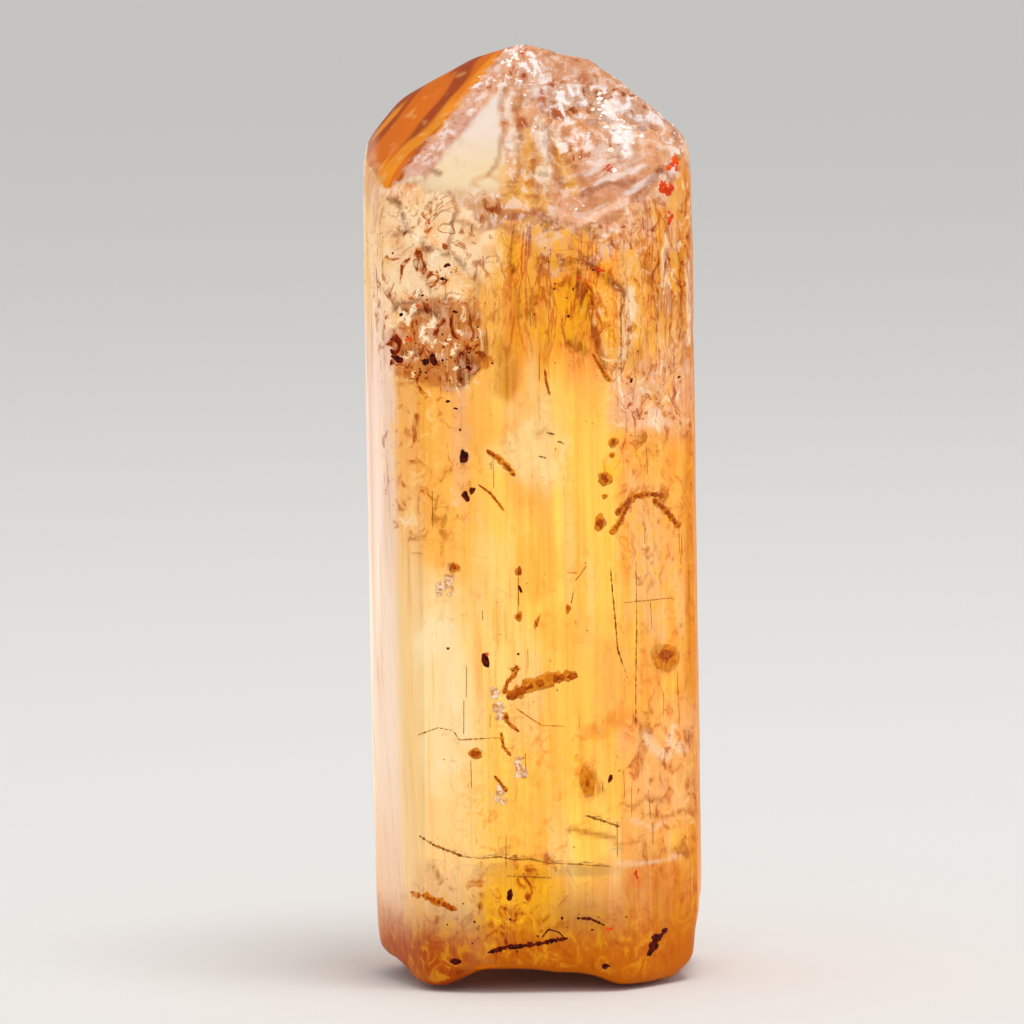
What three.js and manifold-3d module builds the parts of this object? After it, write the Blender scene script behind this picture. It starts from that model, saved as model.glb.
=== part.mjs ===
// An imperial topaz crystal, one solid: ten striated prism faces, a six-faced point with an etched front slope,
// and a base broken along the cleavage. Millimetres, +Z up along the crystal, the broad face looking along -Y.
// The origin is under the middle of the crystal, on the surface that its feet stand on.
import * as THREE from 'three';
import { mergeVertices } from 'three/addons/utils/BufferGeometryUtils.js';
import Module from 'manifold-3d';

const wasm = await Module();
wasm.setup();

// Axial ratio of topaz. It fixes the angle of every face that is given by its indices.
const A_TO_B = 0.528;
const C_TO_B = 0.955;

// Prism faces, by their indices (h k 0) and their distance from the crystal's axis. (1 2 0) is the broad front face.
const FRONT_FACE = { h: 1, k: 2 };
const PRISM_FACES = [
  { name: 'front', h: 1, k: 2, reach: 5.75 },
  { name: 'front right', h: 0, k: 1, reach: 6.6 },
  { name: 'right', h: -1, k: 2, reach: 6.95 },
  { name: 'right rear', h: -1, k: 1, reach: 7.36 },
  { name: 'back right', h: -1, k: -1, reach: 6.2 },
  { name: 'back', h: -1, k: -2, reach: 5.6 },
  { name: 'back left', h: 0, k: -1, reach: 6.4 },
  { name: 'left', h: 1, k: -2, reach: 6.8 },
  { name: 'left front', h: 1, k: -1, reach: 6.93 },
  { name: 'front left', h: 1, k: 1, reach: 6.09 },
];

// Slopes of the point: the way each one faces, its tilt from level, and the height where it crosses the axis.
const POINT_SLOPES = {
  front: { azimuth: 8, tilt: 49, crossing: 38.71 },
  left: { azimuth: -50, tilt: 37.1, crossing: 39.19 },
  leftShoulder: { azimuth: -105, tilt: 62, crossing: 47.87 },
  backLeft: { azimuth: 206, tilt: 45.1, crossing: 41.58 },
  back: { ...pyramidAngles(-1, -1, 2), crossing: 40.23 },
  right: { ...pyramidAngles(-1, 1, 2), crossing: 41.72 },
};

// A steep face on the left front edge that widens towards the base, so its normal points a little downwards.
const LEFT_BEVEL = { azimuth: -66, tilt: 92.6, reachAtBase: 6.21 };

// Growth ridges along the prism: the width of a land between two steps, and how far a step goes in.
const RIDGE = { narrow: 0.4, wide: 1.3, shallow: 0.03, deep: 0.11, riser: 0.08 };

// The base broke along the cleavage, level across the crystal, and left feet standing below it.
const CLEAVAGE_HEIGHT = 0.66;
const FEET = [
  { name: 'left front', at: [-5.1, -4.3], sole: 1.15, root: 3.1, sides: 9 },
  { name: 'right front', at: [4.7, -4.1], sole: 1.5, root: 3, sides: 11 },
  { name: 'back right', at: [4.3, 3.7], sole: 1.3, root: 2.6, sides: 9 },
  { name: 'back left', at: [-4.2, 3.4], sole: 1.4, root: 2.7, sides: 10 },
];
const CLEAVAGE_STEP = { at: [-1.7, -3.4], size: [3, 7], turn: 14, height: 0.86 };

// Shell-shaped chips out of the rim of the base.
const RIM_CHIPS = [
  { name: 'right', at: [8.05, -0.5, 1.35], radii: [1.55, 5.6, 2.35] },
  { name: 'right front foot', at: [7.1, -3.3, -0.45], radii: [1.3, 3, 1.2] },
  { name: 'left', at: [-7.3, -1.2, 0.15], radii: [1.1, 5, 1.15] },
  { name: 'left front foot', at: [-6.5, -4.4, -0.35], radii: [0.95, 2.1, 1.1] },
  { name: 'back', at: [0.9, 6.9, 0.6], radii: [2.7, 1.9, 1.9] },
  { name: 'back left', at: [-6.5, 4.6, 0.8], radii: [1.7, 1.9, 2.6] },
  { name: 'back right', at: [7.4, 5, 0.6], radii: [1.9, 1.7, 2.3] },
];

// Etching: the range of a scoop's radius, of how far it bites, and how much longer than wide it is.
const SLOPE_SCOOPS = { count: 36, sizes: [1.5, 3.4], depths: [0.05, 0.13], long: 1.3, edge: 0.5 };
const LEDGE_SCALLOPS = { count: 10, sizes: [0.8, 1.6], depths: [0.12, 0.28], long: 1.3 };
const WORN_PATCHES = [
  { face: 'front left', low: 28.4, high: 31.4, count: 2, sizes: [4, 5], depths: [0.25, 0.4], long: 1.2 },
  { face: 'front left', low: 25.6, high: 33, count: 12, sizes: [1.3, 2.8], depths: [0.1, 0.26], long: 1.3 },
  { face: 'front right', low: 22.6, high: 27.2, count: 9, sizes: [1.1, 2.4], depths: [0.1, 0.24], long: 1.4 },
  { face: 'front right', low: 29.2, high: 33, count: 6, sizes: [1, 2], depths: [0.08, 0.18], long: 1.8 },
  { face: 'front left', low: 3.4, high: 5.6, count: 4, sizes: [1.2, 2], depths: [0.06, 0.14], long: 1.3 },
  { face: 'back', low: 20, high: 32, count: 7, sizes: [1.4, 3], depths: [0.08, 0.2], long: 1.6 },
  { face: 'left', low: 10, high: 30, count: 5, sizes: [1.2, 2.2], depths: [0.06, 0.14], long: 1.8 },
  { face: 'right', low: 10, high: 30, count: 5, sizes: [1.2, 2.4], depths: [0.06, 0.16], long: 1.8 },
];
const SCOOP_DETAIL = 5;
const CHIP_DETAIL = 7;
const STOCK = 60;
const SEED = 20418;

const DEGREE = Math.PI / 180;
const random = seededRandom(SEED);
const between = ([low, high]) => low + (high - low) * random();

// A repeatable stream of numbers from 0 to 1.
function seededRandom(seed) {
  let state = seed;
  return () => {
    state = (state + 0x6d2b79f5) | 0;
    let mixed = Math.imul(state ^ (state >>> 15), 1 | state);
    mixed = (mixed + Math.imul(mixed ^ (mixed >>> 7), 61 | mixed)) ^ mixed;
    return ((mixed ^ (mixed >>> 14)) >>> 0) / 4294967296;
  };
}

// Degrees from -Y towards +X at which a face with these first two indices looks out.
function azimuthOf(h, k) {
  const angle = (a, b) => Math.atan2(b * A_TO_B, a);
  return (angle(h, k) - angle(FRONT_FACE.h, FRONT_FACE.k)) * (180 / Math.PI);
}

function pyramidAngles(h, k, l) {
  const rise = (C_TO_B * Math.hypot(h / A_TO_B, k)) / l;
  return { azimuth: azimuthOf(h, k), tilt: Math.atan(rise) * (180 / Math.PI) };
}

// Unit vector for an azimuth and a tilt from straight up.
function facing(azimuth, tilt) {
  const level = Math.sin(tilt * DEGREE);
  return new THREE.Vector3(
    Math.sin(azimuth * DEGREE) * level,
    -Math.cos(azimuth * DEGREE) * level,
    Math.cos(tilt * DEGREE),
  );
}

function toSolid(geometry) {
  const bare = geometry.clone();
  bare.deleteAttribute('normal');
  bare.deleteAttribute('uv');
  const merged = mergeVertices(bare);
  return new wasm.Manifold(
    new wasm.Mesh({
      numProp: 3,
      vertProperties: merged.attributes.position.array,
      triVerts: new Uint32Array(merged.index.array),
    }),
  );
}

function toGeometry(solid) {
  const mesh = solid.getMesh();
  const geometry = new THREE.BufferGeometry();
  geometry.setAttribute('position', new THREE.BufferAttribute(mesh.vertProperties, 3));
  geometry.setIndex(new THREE.BufferAttribute(mesh.triVerts, 1));
  geometry.computeVertexNormals();
  return geometry;
}

// The prism's planes and the corners where neighbours meet, in plan.
const prismPlanes = PRISM_FACES.map((face) => ({
  ...face,
  normal: facing(azimuthOf(face.h, face.k), 90),
}));

function cornerBetween(first, second) {
  const { normal: n, reach: d } = first;
  const { normal: m, reach: e } = second;
  const cross = n.x * m.y - n.y * m.x;
  return new THREE.Vector2((d * m.y - e * n.y) / cross, (e * n.x - d * m.x) / cross);
}

const corners = prismPlanes.map((face, i) => {
  const next = prismPlanes[(i + 1) % prismPlanes.length];
  return cornerBetween(face, next);
});

// One side of the plan, from corner to corner, with its growth ridges stepping in from the face's plane.
function ridgedSide(from, to, inward) {
  const along = to.clone().sub(from);
  const length = along.length();
  along.normalize();
  const points = [from.clone()];
  const place = (distance, depth) =>
    points.push(from.clone().addScaledVector(along, distance).addScaledVector(inward, depth));
  let reached = between([RIDGE.narrow, RIDGE.wide]);
  while (reached < length - RIDGE.wide - 2 * RIDGE.riser) {
    const depth = between([RIDGE.shallow, RIDGE.deep]);
    const land = between([RIDGE.narrow, RIDGE.wide]) * 0.7;
    place(reached, 0);
    place(reached + RIDGE.riser, depth);
    place(reached + RIDGE.riser + land, depth);
    reached += 2 * RIDGE.riser + land;
    place(reached, 0);
    reached += between([RIDGE.narrow, RIDGE.wide]);
  }
  return points;
}

function ridgedPlan() {
  const outline = prismPlanes.flatMap((face, i) => {
    const from = corners[(i + corners.length - 1) % corners.length];
    const inward = new THREE.Vector2(-face.normal.x, -face.normal.y);
    return ridgedSide(from, corners[i], inward);
  });
  return new THREE.Shape(outline);
}

// Everything outside a plane, as a block that is cut away.
function beyond(normal, point) {
  const block = new THREE.BoxGeometry(STOCK * 2, STOCK * 2, STOCK * 2);
  block.translate(0, 0, STOCK);
  block.applyQuaternion(new THREE.Quaternion().setFromUnitVectors(new THREE.Vector3(0, 0, 1), normal));
  block.translate(point.x, point.y, point.z);
  return toSolid(block);
}

const slopes = Object.entries(POINT_SLOPES).map(([name, slope]) => ({
  name,
  normal: facing(slope.azimuth, slope.tilt),
  point: new THREE.Vector3(0, 0, slope.crossing),
}));
const bevelNormal = facing(LEFT_BEVEL.azimuth, LEFT_BEVEL.tilt);
const bevelPoint = facing(LEFT_BEVEL.azimuth, 90).multiplyScalar(LEFT_BEVEL.reachAtBase);

// The unbroken crystal: the ridged plan drawn up, then cut by the point's slopes and the bevel.
function unbrokenCrystal() {
  const prism = new THREE.ExtrudeGeometry(ridgedPlan(), { depth: STOCK, bevelEnabled: false });
  let solid = toSolid(prism);
  for (const { normal, point } of slopes) solid = solid.subtract(beyond(normal, point));
  return solid.subtract(beyond(bevelNormal, bevelPoint));
}

// An egg-shaped cutter with its first radius along one direction and its last along the surface's normal.
function egg(centre, radii, along, normal, detail) {
  const shape = new THREE.IcosahedronGeometry(1, detail);
  shape.scale(...radii);
  const across = new THREE.Vector3().crossVectors(normal, along);
  shape.applyMatrix4(new THREE.Matrix4().makeBasis(along, across, normal));
  shape.translate(centre.x, centre.y, centre.z);
  return toSolid(shape);
}

// A shallow scoop in a surface, longer along one direction than across it.
function scoop(point, normal, along, { sizes, depths, long }) {
  const size = between(sizes);
  const depth = Math.min(between(depths), size);
  const turned = along.clone().applyAxisAngle(normal, random() - 0.5);
  const centre = point.clone().addScaledVector(normal, size - depth);
  return egg(centre, [size * long, size, size], turned, normal, SCOOP_DETAIL);
}

function slopeHeight({ normal, point }, x, y) {
  return point.z - (normal.x * x + normal.y * y) / normal.z;
}

// Whether a point of the front slope lies on the crystal's skin, at least this far from the slope's edges.
function isOnSlope(at, slope, edge) {
  const clearOfSides = prismPlanes.every(({ normal, reach }) => normal.dot(at) < reach - edge);
  const clearOfSlopes = slopes.every(
    (other) => other === slope || other.normal.dot(at.clone().sub(other.point)) < -edge * 0.5,
  );
  return clearOfSides && clearOfSlopes;
}

const UP = new THREE.Vector3(0, 0, 1);
const uphill = (normal) => UP.clone().addScaledVector(normal, -normal.z).normalize();

function slopeScoops(slope, kind, [left, right], [near, far]) {
  const scoops = [];
  while (scoops.length < kind.count) {
    const x = between([left, right]);
    const y = between([near, far]);
    const at = new THREE.Vector3(x, y, slopeHeight(slope, x, y));
    if (isOnSlope(at, slope, kind.edge)) scoops.push(scoop(at, slope.normal, uphill(slope.normal), kind));
  }
  return scoops;
}

// Scallops along the ledge where the front slope meets the prism's front faces.
function ledgeScoops(slope, kind) {
  const front = prismPlanes[0];
  const faces = [prismPlanes[prismPlanes.length - 1], front, prismPlanes[1]];
  const scoops = [];
  for (let i = 0; i < kind.count; i++) {
    const face = faces[Math.floor((i / kind.count) * faces.length)];
    const at = pointOnFace(face, random(), 0);
    at.z = slopeHeight(slope, at.x, at.y);
    const between = face.normal.clone().add(slope.normal).normalize();
    scoops.push(scoop(at, between, uphill(between), kind));
  }
  return scoops;
}

// A point of a prism face: a share of the way across it, at a height.
function pointOnFace(face, share, height) {
  const i = prismPlanes.indexOf(face);
  const from = corners[(i + corners.length - 1) % corners.length];
  const plan = from.clone().lerp(corners[i], share);
  return new THREE.Vector3(plan.x, plan.y, height);
}

function wornScoops(patch) {
  const face = prismPlanes.find(({ name }) => name === patch.face);
  return Array.from({ length: patch.count }, () => {
    const at = pointOnFace(face, between([0.06, 0.94]), between([patch.low, patch.high]));
    return scoop(at, face.normal, UP, patch);
  });
}

// What is missing under the cleavage: a slab the size of the stock, less the feet.
function missingBase() {
  const slab = new THREE.BoxGeometry(STOCK, STOCK, CLEAVAGE_HEIGHT * 2);
  const feet = FEET.map(({ at, sole, root, sides }) => {
    const foot = new THREE.CylinderGeometry(root, sole, CLEAVAGE_HEIGHT, sides);
    foot.rotateX(90 * DEGREE);
    foot.rotateZ(random() * 360 * DEGREE);
    return toSolid(foot.translate(at[0], at[1], CLEAVAGE_HEIGHT / 2));
  });
  return feet.reduce((missing, foot) => missing.subtract(foot), toSolid(slab));
}

function cleavageStep() {
  const { at, size, turn, height } = CLEAVAGE_STEP;
  const step = new THREE.BoxGeometry(...size, height);
  step.rotateZ(turn * DEGREE);
  return toSolid(step.translate(at[0], at[1], height / 2));
}

function rimChips() {
  const east = new THREE.Vector3(1, 0, 0);
  return RIM_CHIPS.map(({ at, radii }) => egg(new THREE.Vector3(...at), radii, east, UP, CHIP_DETAIL));
}

function brokenCrystal() {
  const frontSlope = slopes.find(({ name }) => name === 'front');
  const cutters = [
    missingBase(),
    cleavageStep(),
    ...rimChips(),
    ...slopeScoops(frontSlope, SLOPE_SCOOPS, [-4, 6.5], [-5.6, 0.8]),
    ...ledgeScoops(frontSlope, LEDGE_SCALLOPS),
    ...WORN_PATCHES.flatMap(wornScoops),
  ];
  return cutters.reduce((solid, cutter) => solid.subtract(cutter), unbrokenCrystal());
}

// Moves the middle of the crystal's plan over the origin.
function centred(geometry) {
  geometry.computeBoundingBox();
  const middle = geometry.boundingBox.getCenter(new THREE.Vector3());
  return geometry.translate(-middle.x, -middle.y, -geometry.boundingBox.min.z);
}

const topaz = new THREE.MeshStandardMaterial({ color: 0xf2a83c, roughness: 0.08, metalness: 0 });
const crystal = new THREE.Mesh(centred(toGeometry(brokenCrystal())), topaz);
crystal.name = 'topaz_crystal';

const specimen = new THREE.Group();
specimen.add(crystal);

export default specimen;
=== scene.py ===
"""Looks of an imperial topaz crystal: golden, glassy, with grown, etched and broken faces and flaws."""

import math

import bmesh
import bpy
import numpy as np
from mathutils import Matrix, Vector
from mathutils.bvhtree import BVHTree


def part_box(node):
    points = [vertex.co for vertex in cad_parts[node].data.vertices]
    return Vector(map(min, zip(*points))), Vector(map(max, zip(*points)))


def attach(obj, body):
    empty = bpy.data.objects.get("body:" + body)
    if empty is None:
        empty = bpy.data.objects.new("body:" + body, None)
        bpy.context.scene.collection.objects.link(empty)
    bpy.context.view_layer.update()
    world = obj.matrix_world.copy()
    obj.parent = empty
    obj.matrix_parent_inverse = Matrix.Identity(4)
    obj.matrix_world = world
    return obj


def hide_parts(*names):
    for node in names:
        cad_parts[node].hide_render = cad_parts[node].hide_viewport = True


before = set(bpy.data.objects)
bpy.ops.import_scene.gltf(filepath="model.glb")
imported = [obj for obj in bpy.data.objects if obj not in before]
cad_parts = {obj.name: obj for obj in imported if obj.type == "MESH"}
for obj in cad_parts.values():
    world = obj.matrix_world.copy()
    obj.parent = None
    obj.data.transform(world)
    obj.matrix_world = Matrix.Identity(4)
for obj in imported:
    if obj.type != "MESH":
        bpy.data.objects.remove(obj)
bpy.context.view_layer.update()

MM = 0.001
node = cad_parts["topaz_crystal"]
LOW, HIGH = (np.array(corner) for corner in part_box("topaz_crystal"))
HEIGHT = HIGH[2] - LOW[2]

# The camera stands in front of the broad face, a little above it and rolled, as the photograph was taken.
CAMERA_DISTANCE = 300 * MM
CAMERA_ELEVATION = math.radians(5)
CAMERA_ROLL = math.radians(0.92)
PICTURE_WIDTH = 43.25 * MM
PICTURE_MIDDLE = Vector((-0.89, 0, 19.58)) * MM
SENSOR = 36

# The studio's grey walls, which light everything evenly.
STUDIO_GREY = "#d7d7d7"

# Slopes of the crystal's point, as the solid has them: azimuth from -Y towards +X, tilt from level, and
# height on the axis.
AXIS = np.array((-0.115, 0.075, 0)) * MM
FRONT_SLOPE = (8, 49, 38.71 * MM)
LEFT_SLOPE = (-50, 37.1, 39.19 * MM)

# Size of the visible mesh's faces, the rounds of smoothing that wear its edges, and the turn between faces
# that shows as a sharp edge.
FACE_SIZE = 0.155 * MM
ROUNDING = 115
SHARP_EDGE = math.radians(22)

# How far the frosted film lies outside the skin, and the share of frost below which there is none.
FILM_LIFT = 0.01 * MM
THINNEST_FROST = 0.04

# Topaz's index of refraction, the share of light that enters it, the colour that is left of white light, and
# how quickly it deepens.
TOPAZ_IOR = 1.63
TOPAZ_CLEARNESS = 0.92
TOPAZ_GOLD = "#fef169"
TOPAZ_DENSITY = 215

# Worn ovals of the front faces, in millimetres: across, up, half width, half height.
WORN_OVALS = ((-4.4, 30.6, 2.9, 4.8), (-2.3, 31.4, 1.7, 2.4))

# Clouds of colour in the front faces, in millimetres: across, up, half width, half height, colour, strength.
CLOUDS = (
    (0.9, 28.9, 2.7, 3.5, "#f7a200", 1.35),
    (-1.0, 26.0, 0.8, 1.6, "#d88a1c", 0.7),
    (2.3, 28.2, 0.7, 2.0, "#d97c10", 0.7),
    (-1.9, 28.0, 0.7, 2.6, "#fbc75e", 0.8),
    (-5.8, 26.6, 0.6, 2.0, "#f09c1c", 0.7),
    (-4.9, 20.8, 1.2, 3.2, "#f4a850", 0.7),
    (-2.95, 22.6, 0.5, 3.6, "#f2c0a0", 0.7),
    (-3.9, 12.6, 1.6, 5.2, "#fff0c4", 0.9),
    (4.1, 27.9, 0.5, 1.9, "#fde2ae", 0.8),
    (4.4, 26.3, 0.5, 0.9, "#d98630", 0.8),
    (5.9, 29.5, 1.4, 3.2, "#e0923a", 0.8),
    (6.3, 24.8, 0.7, 1.0, "#e6820e", 0.9),
    (6.9, 17.0, 0.8, 12.0, "#ee9014", 1.0),
    (3.45, 23.4, 0.4, 0.5, "#ffcc14", 0.9),
    (3.35, 22.0, 0.5, 0.7, "#ffcc14", 0.9),
    (3.85, 24.2, 0.8, 1.2, "#ecb8a0", 0.85),
    (5.2, 18.5, 1.4, 3.4, "#f9ba74", 0.7),
    (5.45, 13.7, 0.9, 0.9, "#e0923a", 0.7),
    (5.4, 9.4, 2.0, 3.4, "#f3b888", 0.8),
    (3.3, 13.0, 0.9, 2.0, "#f8bc68", 0.7),
    (2.42, 10.8, 0.9, 0.5, "#f2a03a", 0.8),
    (3.45, 11.4, 0.6, 0.6, "#ee962c", 0.8),
    (2.1, 8.8, 0.6, 1.0, "#ee8c1a", 0.8),
    (-1.2, 4.2, 2.4, 2.2, "#fac23c", 0.9),
    (-4.5, 1.6, 2.2, 1.6, "#cf6a24", 0.9),
    (-4.5, 3.9, 1.6, 1.6, "#e6a670", 0.7),
    (4.9, 3.0, 2.6, 3.2, "#dc7416", 1.0),
    (4.1, 4.8, 0.6, 0.6, "#e66c2c", 0.8),
    (3.0, 4.4, 1.2, 1.6, "#f6b060", 0.6),
    (0.0, 23.0, 1.9, 2.8, "#ffe6a4", 1.1),
    (0.4, 17.6, 1.9, 1.8, "#fcc450", 0.6),
    (1.2, 15.3, 1.4, 1.2, "#fabc48", 0.5),
)
# The brown block, in ovals: across, up, half width, half height.
BROWN_BLOCKS = ((-4.8, 26.8, 2.0, 1.7), (-3.2, 26.7, 1.6, 1.7), (-3.7, 28.0, 1.9, 1.2))

# Marks in the film, in millimetres. Ovals have across, up, half width and half height; strokes have a colour,
# a strength, a width and a path.
PALE_BOSSES = (
    (-4.15, 32.5, 0.75, 0.95),
    (-5.45, 29.8, 0.8, 0.8),
    (-4.9, 31.3, 0.5, 0.4),
    (-3.0, 31.5, 0.5, 0.9),
)
STROKES = (
    ("#8a5030", 0.7, 0.14, (-5.0, 34.2), (-4.6, 34.45), (-4.1, 34.4), (-3.7, 34.1)),
    ("#8a5030", 0.7, 0.16, (-5.9, 33.1), (-5.5, 33.0), (-5.2, 32.5), (-5.1, 31.9)),
    ("#a8603a", 0.7, 0.14, (-3.3, 33.4), (-3.0, 32.6), (-3.2, 31.6), (-3.4, 31.0)),
    ("#8a5030", 0.7, 0.14, (-5.6, 31.6), (-5.0, 31.7), (-4.5, 31.4), (-4.3, 30.9)),
    ("#8a5030", 0.7, 0.16, (-4.2, 31.0), (-3.6, 30.8), (-3.0, 30.6), (-2.7, 30.2)),
    ("#a8603a", 0.6, 0.12, (-4.55, 30.7), (-4.45, 30.1), (-4.2, 29.5), (-4.05, 29.1)),
    ("#8a5030", 0.7, 0.14, (-6.0, 29.2), (-5.6, 28.8), (-5.0, 28.7), (-4.6, 28.9)),
    ("#7a3410", 0.8, 0.2, (-5.6, 28.5), (-4.9, 28.3), (-4.3, 28.5), (-3.8, 28.2)),
    ("#c88c48", 0.5, 0.2, (-2.4, 33.3), (-2.2, 33.8), (-1.7, 34.0), (-1.2, 33.7), (-0.9, 33.2)),
    ("#d8963c", 0.75, 0.4, (0.0, 35.6), (0.3, 34.6), (-0.1, 33.4)),
    ("#d8963c", 0.75, 0.35, (1.2, 35.0), (1.5, 34.2), (1.9, 33.2)),
    ("#dca04c", 0.7, 0.45, (-1.0, 34.0), (-0.7, 33.2), (0.6, 32.8)),
    ("#e8d8c4", 0.6, 0.18, (-0.65, 37.2), (-0.8, 36.5), (-0.6, 35.9), (-0.75, 35.2), (-0.55, 34.5)),
    ("#e8d8c4", 0.6, 0.16, (0.4, 36.2), (0.65, 35.7), (0.5, 35.1), (0.8, 34.6)),
    ("#a86428", 0.6, 0.16, (-0.95, 37.5), (-1.1, 36.7),
     (-0.95, 36.0), (-1.1, 35.2), (-1.3, 34.4), (-1.7, 33.9)),
    ("#a86428", 0.6, 0.16, (-0.2, 37.0), (-0.45, 36.2),
     (-0.25, 35.5), (-0.45, 34.8), (-0.3, 34.2), (-0.8, 33.5)),
    ("#a86428", 0.6, 0.16, (0.85, 36.4), (1.0, 35.8), (0.75, 35.2), (1.0, 34.5), (1.35, 33.9), (1.3, 33.2)),
    ("#b06828", 0.6, 0.16, (1.5, 36.0), (1.7, 35.2), (1.6, 34.6), (2.2, 33.8), (2.5, 33.4)),
    ("#b06828", 0.6, 0.16, (0.2, 35.2), (0.3, 34.6), (0.1, 34.0), (0.4, 33.4), (0.3, 32.9)),
    ("#a4582a", 0.7, 0.2, (-1.6, 32.6), (-0.6, 32.3), (0.3, 32.5), (1.1, 32.1)),
    ("#b06a3c", 0.6, 0.18, (-3.0, 32.2), (-2.0, 31.8), (-1.2, 32.0), (-0.4, 31.6)),
    # The next two pale diagonal strokes are painted highlights on the etched slope's peach corner.
    ("#e8d4c8", 0.7, 0.18, (2.8, 33.5), (3.8, 33.9), (4.8, 34.2)),
    ("#e8d4c8", 0.7, 0.18, (4.9, 32.8), (5.6, 33.4), (6.2, 34.2)),
    ("#8e4a28", 0.6, 0.17, (2.2, 33.1), (3.2, 33.5), (4.4, 33.6)),
    ("#8e4a28", 0.5, 0.17, (4.4, 33.0), (5.2, 33.7), (5.9, 34.4)),
    ("#e8b898", 0.8, 0.25, (1.1, 31.7), (2.4, 32.1), (4.0, 32.9)),
    ("#e4a880", 0.8, 0.2, (2.6, 31.5), (3.8, 32.0), (5.4, 33.2)),
    ("#a85c10", 0.8, 0.16, (-0.75, 31.3), (-0.85, 30.6), (-0.7, 30.0)),
    ("#fbd8a0", 0.8, 0.18, (-1.15, 31.2), (-1.25, 30.4), (-1.2, 29.7)),
    ("#b85c06", 0.85, 0.3, (1.97, 29.8), (2.3, 28.6), (2.75, 27.2), (3.1, 26.0)),
    ("#9a4410", 0.85, 0.22, (2.5, 30.3), (3.2, 29.7), (3.95, 29.0)),
    ("#b06006", 0.8, 0.3, (1.6, 27.2), (2.2, 26.7)),
    ("#a86006", 0.7, 0.16, (-0.5, 29.4), (-0.45, 28.1)),
    ("#a86006", 0.7, 0.14, (-0.15, 29.3), (-0.1, 28.2)),
    ("#b86c08", 0.7, 0.14, (0.2, 29.2), (0.2, 28.6)),
    ("#c07818", 0.6, 0.1, (-1.35, 27.3), (-1.3, 26.1)),
    ("#b86c10", 0.6, 0.1, (-1.0, 26.9), (-0.95, 24.6)),
    ("#c88020", 0.6, 0.1, (-0.65, 26.2), (-0.65, 25.2)),
    ("#c07610", 0.7, 0.18, (0.6, 30.6), (1.3, 30.3), (2.0, 30.5)),
    ("#fcb818", 0.5, 0.45, (0.3, 27.6), (1.0, 27.2), (1.6, 27.7)),
    ("#fcb818", 0.6, 0.2, (3.0, 28.4), (3.3, 27.4), (3.4, 26.6)),
    ("#fbd8ae", 0.85, 0.25, (4.2, 29.2), (4.15, 28.0), (4.0, 26.9)),
    ("#ce7c20", 0.8, 0.18, (4.7, 30.2), (5.2, 29.2), (5.3, 28.0)),
    ("#f8d2ac", 0.8, 0.18, (5.7, 31.5), (5.6, 29.8), (5.8, 28.2)),
    ("#c8701c", 0.8, 0.16, (6.2, 31.0), (6.3, 29.0), (6.2, 27.0)),
    ("#fbdcba", 0.8, 0.16, (6.6, 30.2), (6.65, 28.4), (6.6, 26.8)),
    ("#a8601c", 0.7, 0.14, (-4.4, 5.2), (-4.1, 4.5)),
    ("#8a4808", 0.75, 0.16, (-1.6, 3.4), (-0.6, 2.9), (0.4, 3.1)),
    ("#8a4808", 0.75, 0.14, (-2.0, 2.5), (-1.0, 2.3), (0.2, 2.6), (1.2, 2.9)),
    ("#ffd040", 0.8, 0.3, (-1.9, 4.4), (-1.4, 3.9), (-0.6, 3.7)),
    ("#ffd040", 0.8, 0.25, (-0.9, 4.6), (-0.3, 4.3), (0.4, 4.4)),
    ("#ffc830", 0.8, 0.25, (-1.6, 3.0), (-0.8, 2.6)),
    ("#b06a0c", 0.7, 0.2, (-2.3, 4.0), (-1.9, 3.4), (-2.2, 2.8)),
    ("#b8701c", 0.7, 0.2, (1.3, 6.8), (2.2, 6.6), (3.2, 6.4)),
    ("#f9cca4", 0.6, 0.16, (3.9, 7.1), (4.8, 6.6), (5.3, 6.8)),
    ("#f8c8a0", 0.7, 0.14, (3.4, 5.3), (4.8, 5.2), (5.9, 5.3)),
    ("#c87434", 0.7, 0.14, (3.4, 7.9), (4.0, 7.6), (4.5, 8.0), (5.2, 7.7)),
    ("#c46c2c", 0.7, 0.16, (4.6, 7.2), (5.3, 7.0), (6.0, 7.2), (6.5, 7.0)),
    ("#c46c2c", 0.6, 0.12, (3.2, 6.1), (3.9, 6.2), (4.6, 5.9)),
    ("#fbd8b4", 0.6, 0.3, (4.5, 10.6), (4.9, 10.0), (5.4, 9.6)),
    ("#fbdcb8", 0.6, 0.25, (5.7, 10.8), (5.5, 10.2), (6.1, 9.7)),
    ("#d07830", 0.6, 0.14, (4.0, 11.4), (4.4, 10.8), (4.2, 9.9), (4.5, 9.2)),
    ("#d07830", 0.6, 0.14, (5.1, 9.4), (5.6, 8.9), (6.2, 9.1)),
    ("#c8701c", 0.6, 0.14, (1.6, 9.8), (2.3, 9.2), (2.6, 8.3)),
    # The last two pale strokes, on the amber slope, are painted highlights.
    ("#f2d8cc", 0.7, 0.12, (-5.75, 34.9), (-5.5, 35.2)),
    ("#e8c4b0", 0.6, 0.14, (-3.9, 37.2), (-3.5, 37.6)),
)

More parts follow.
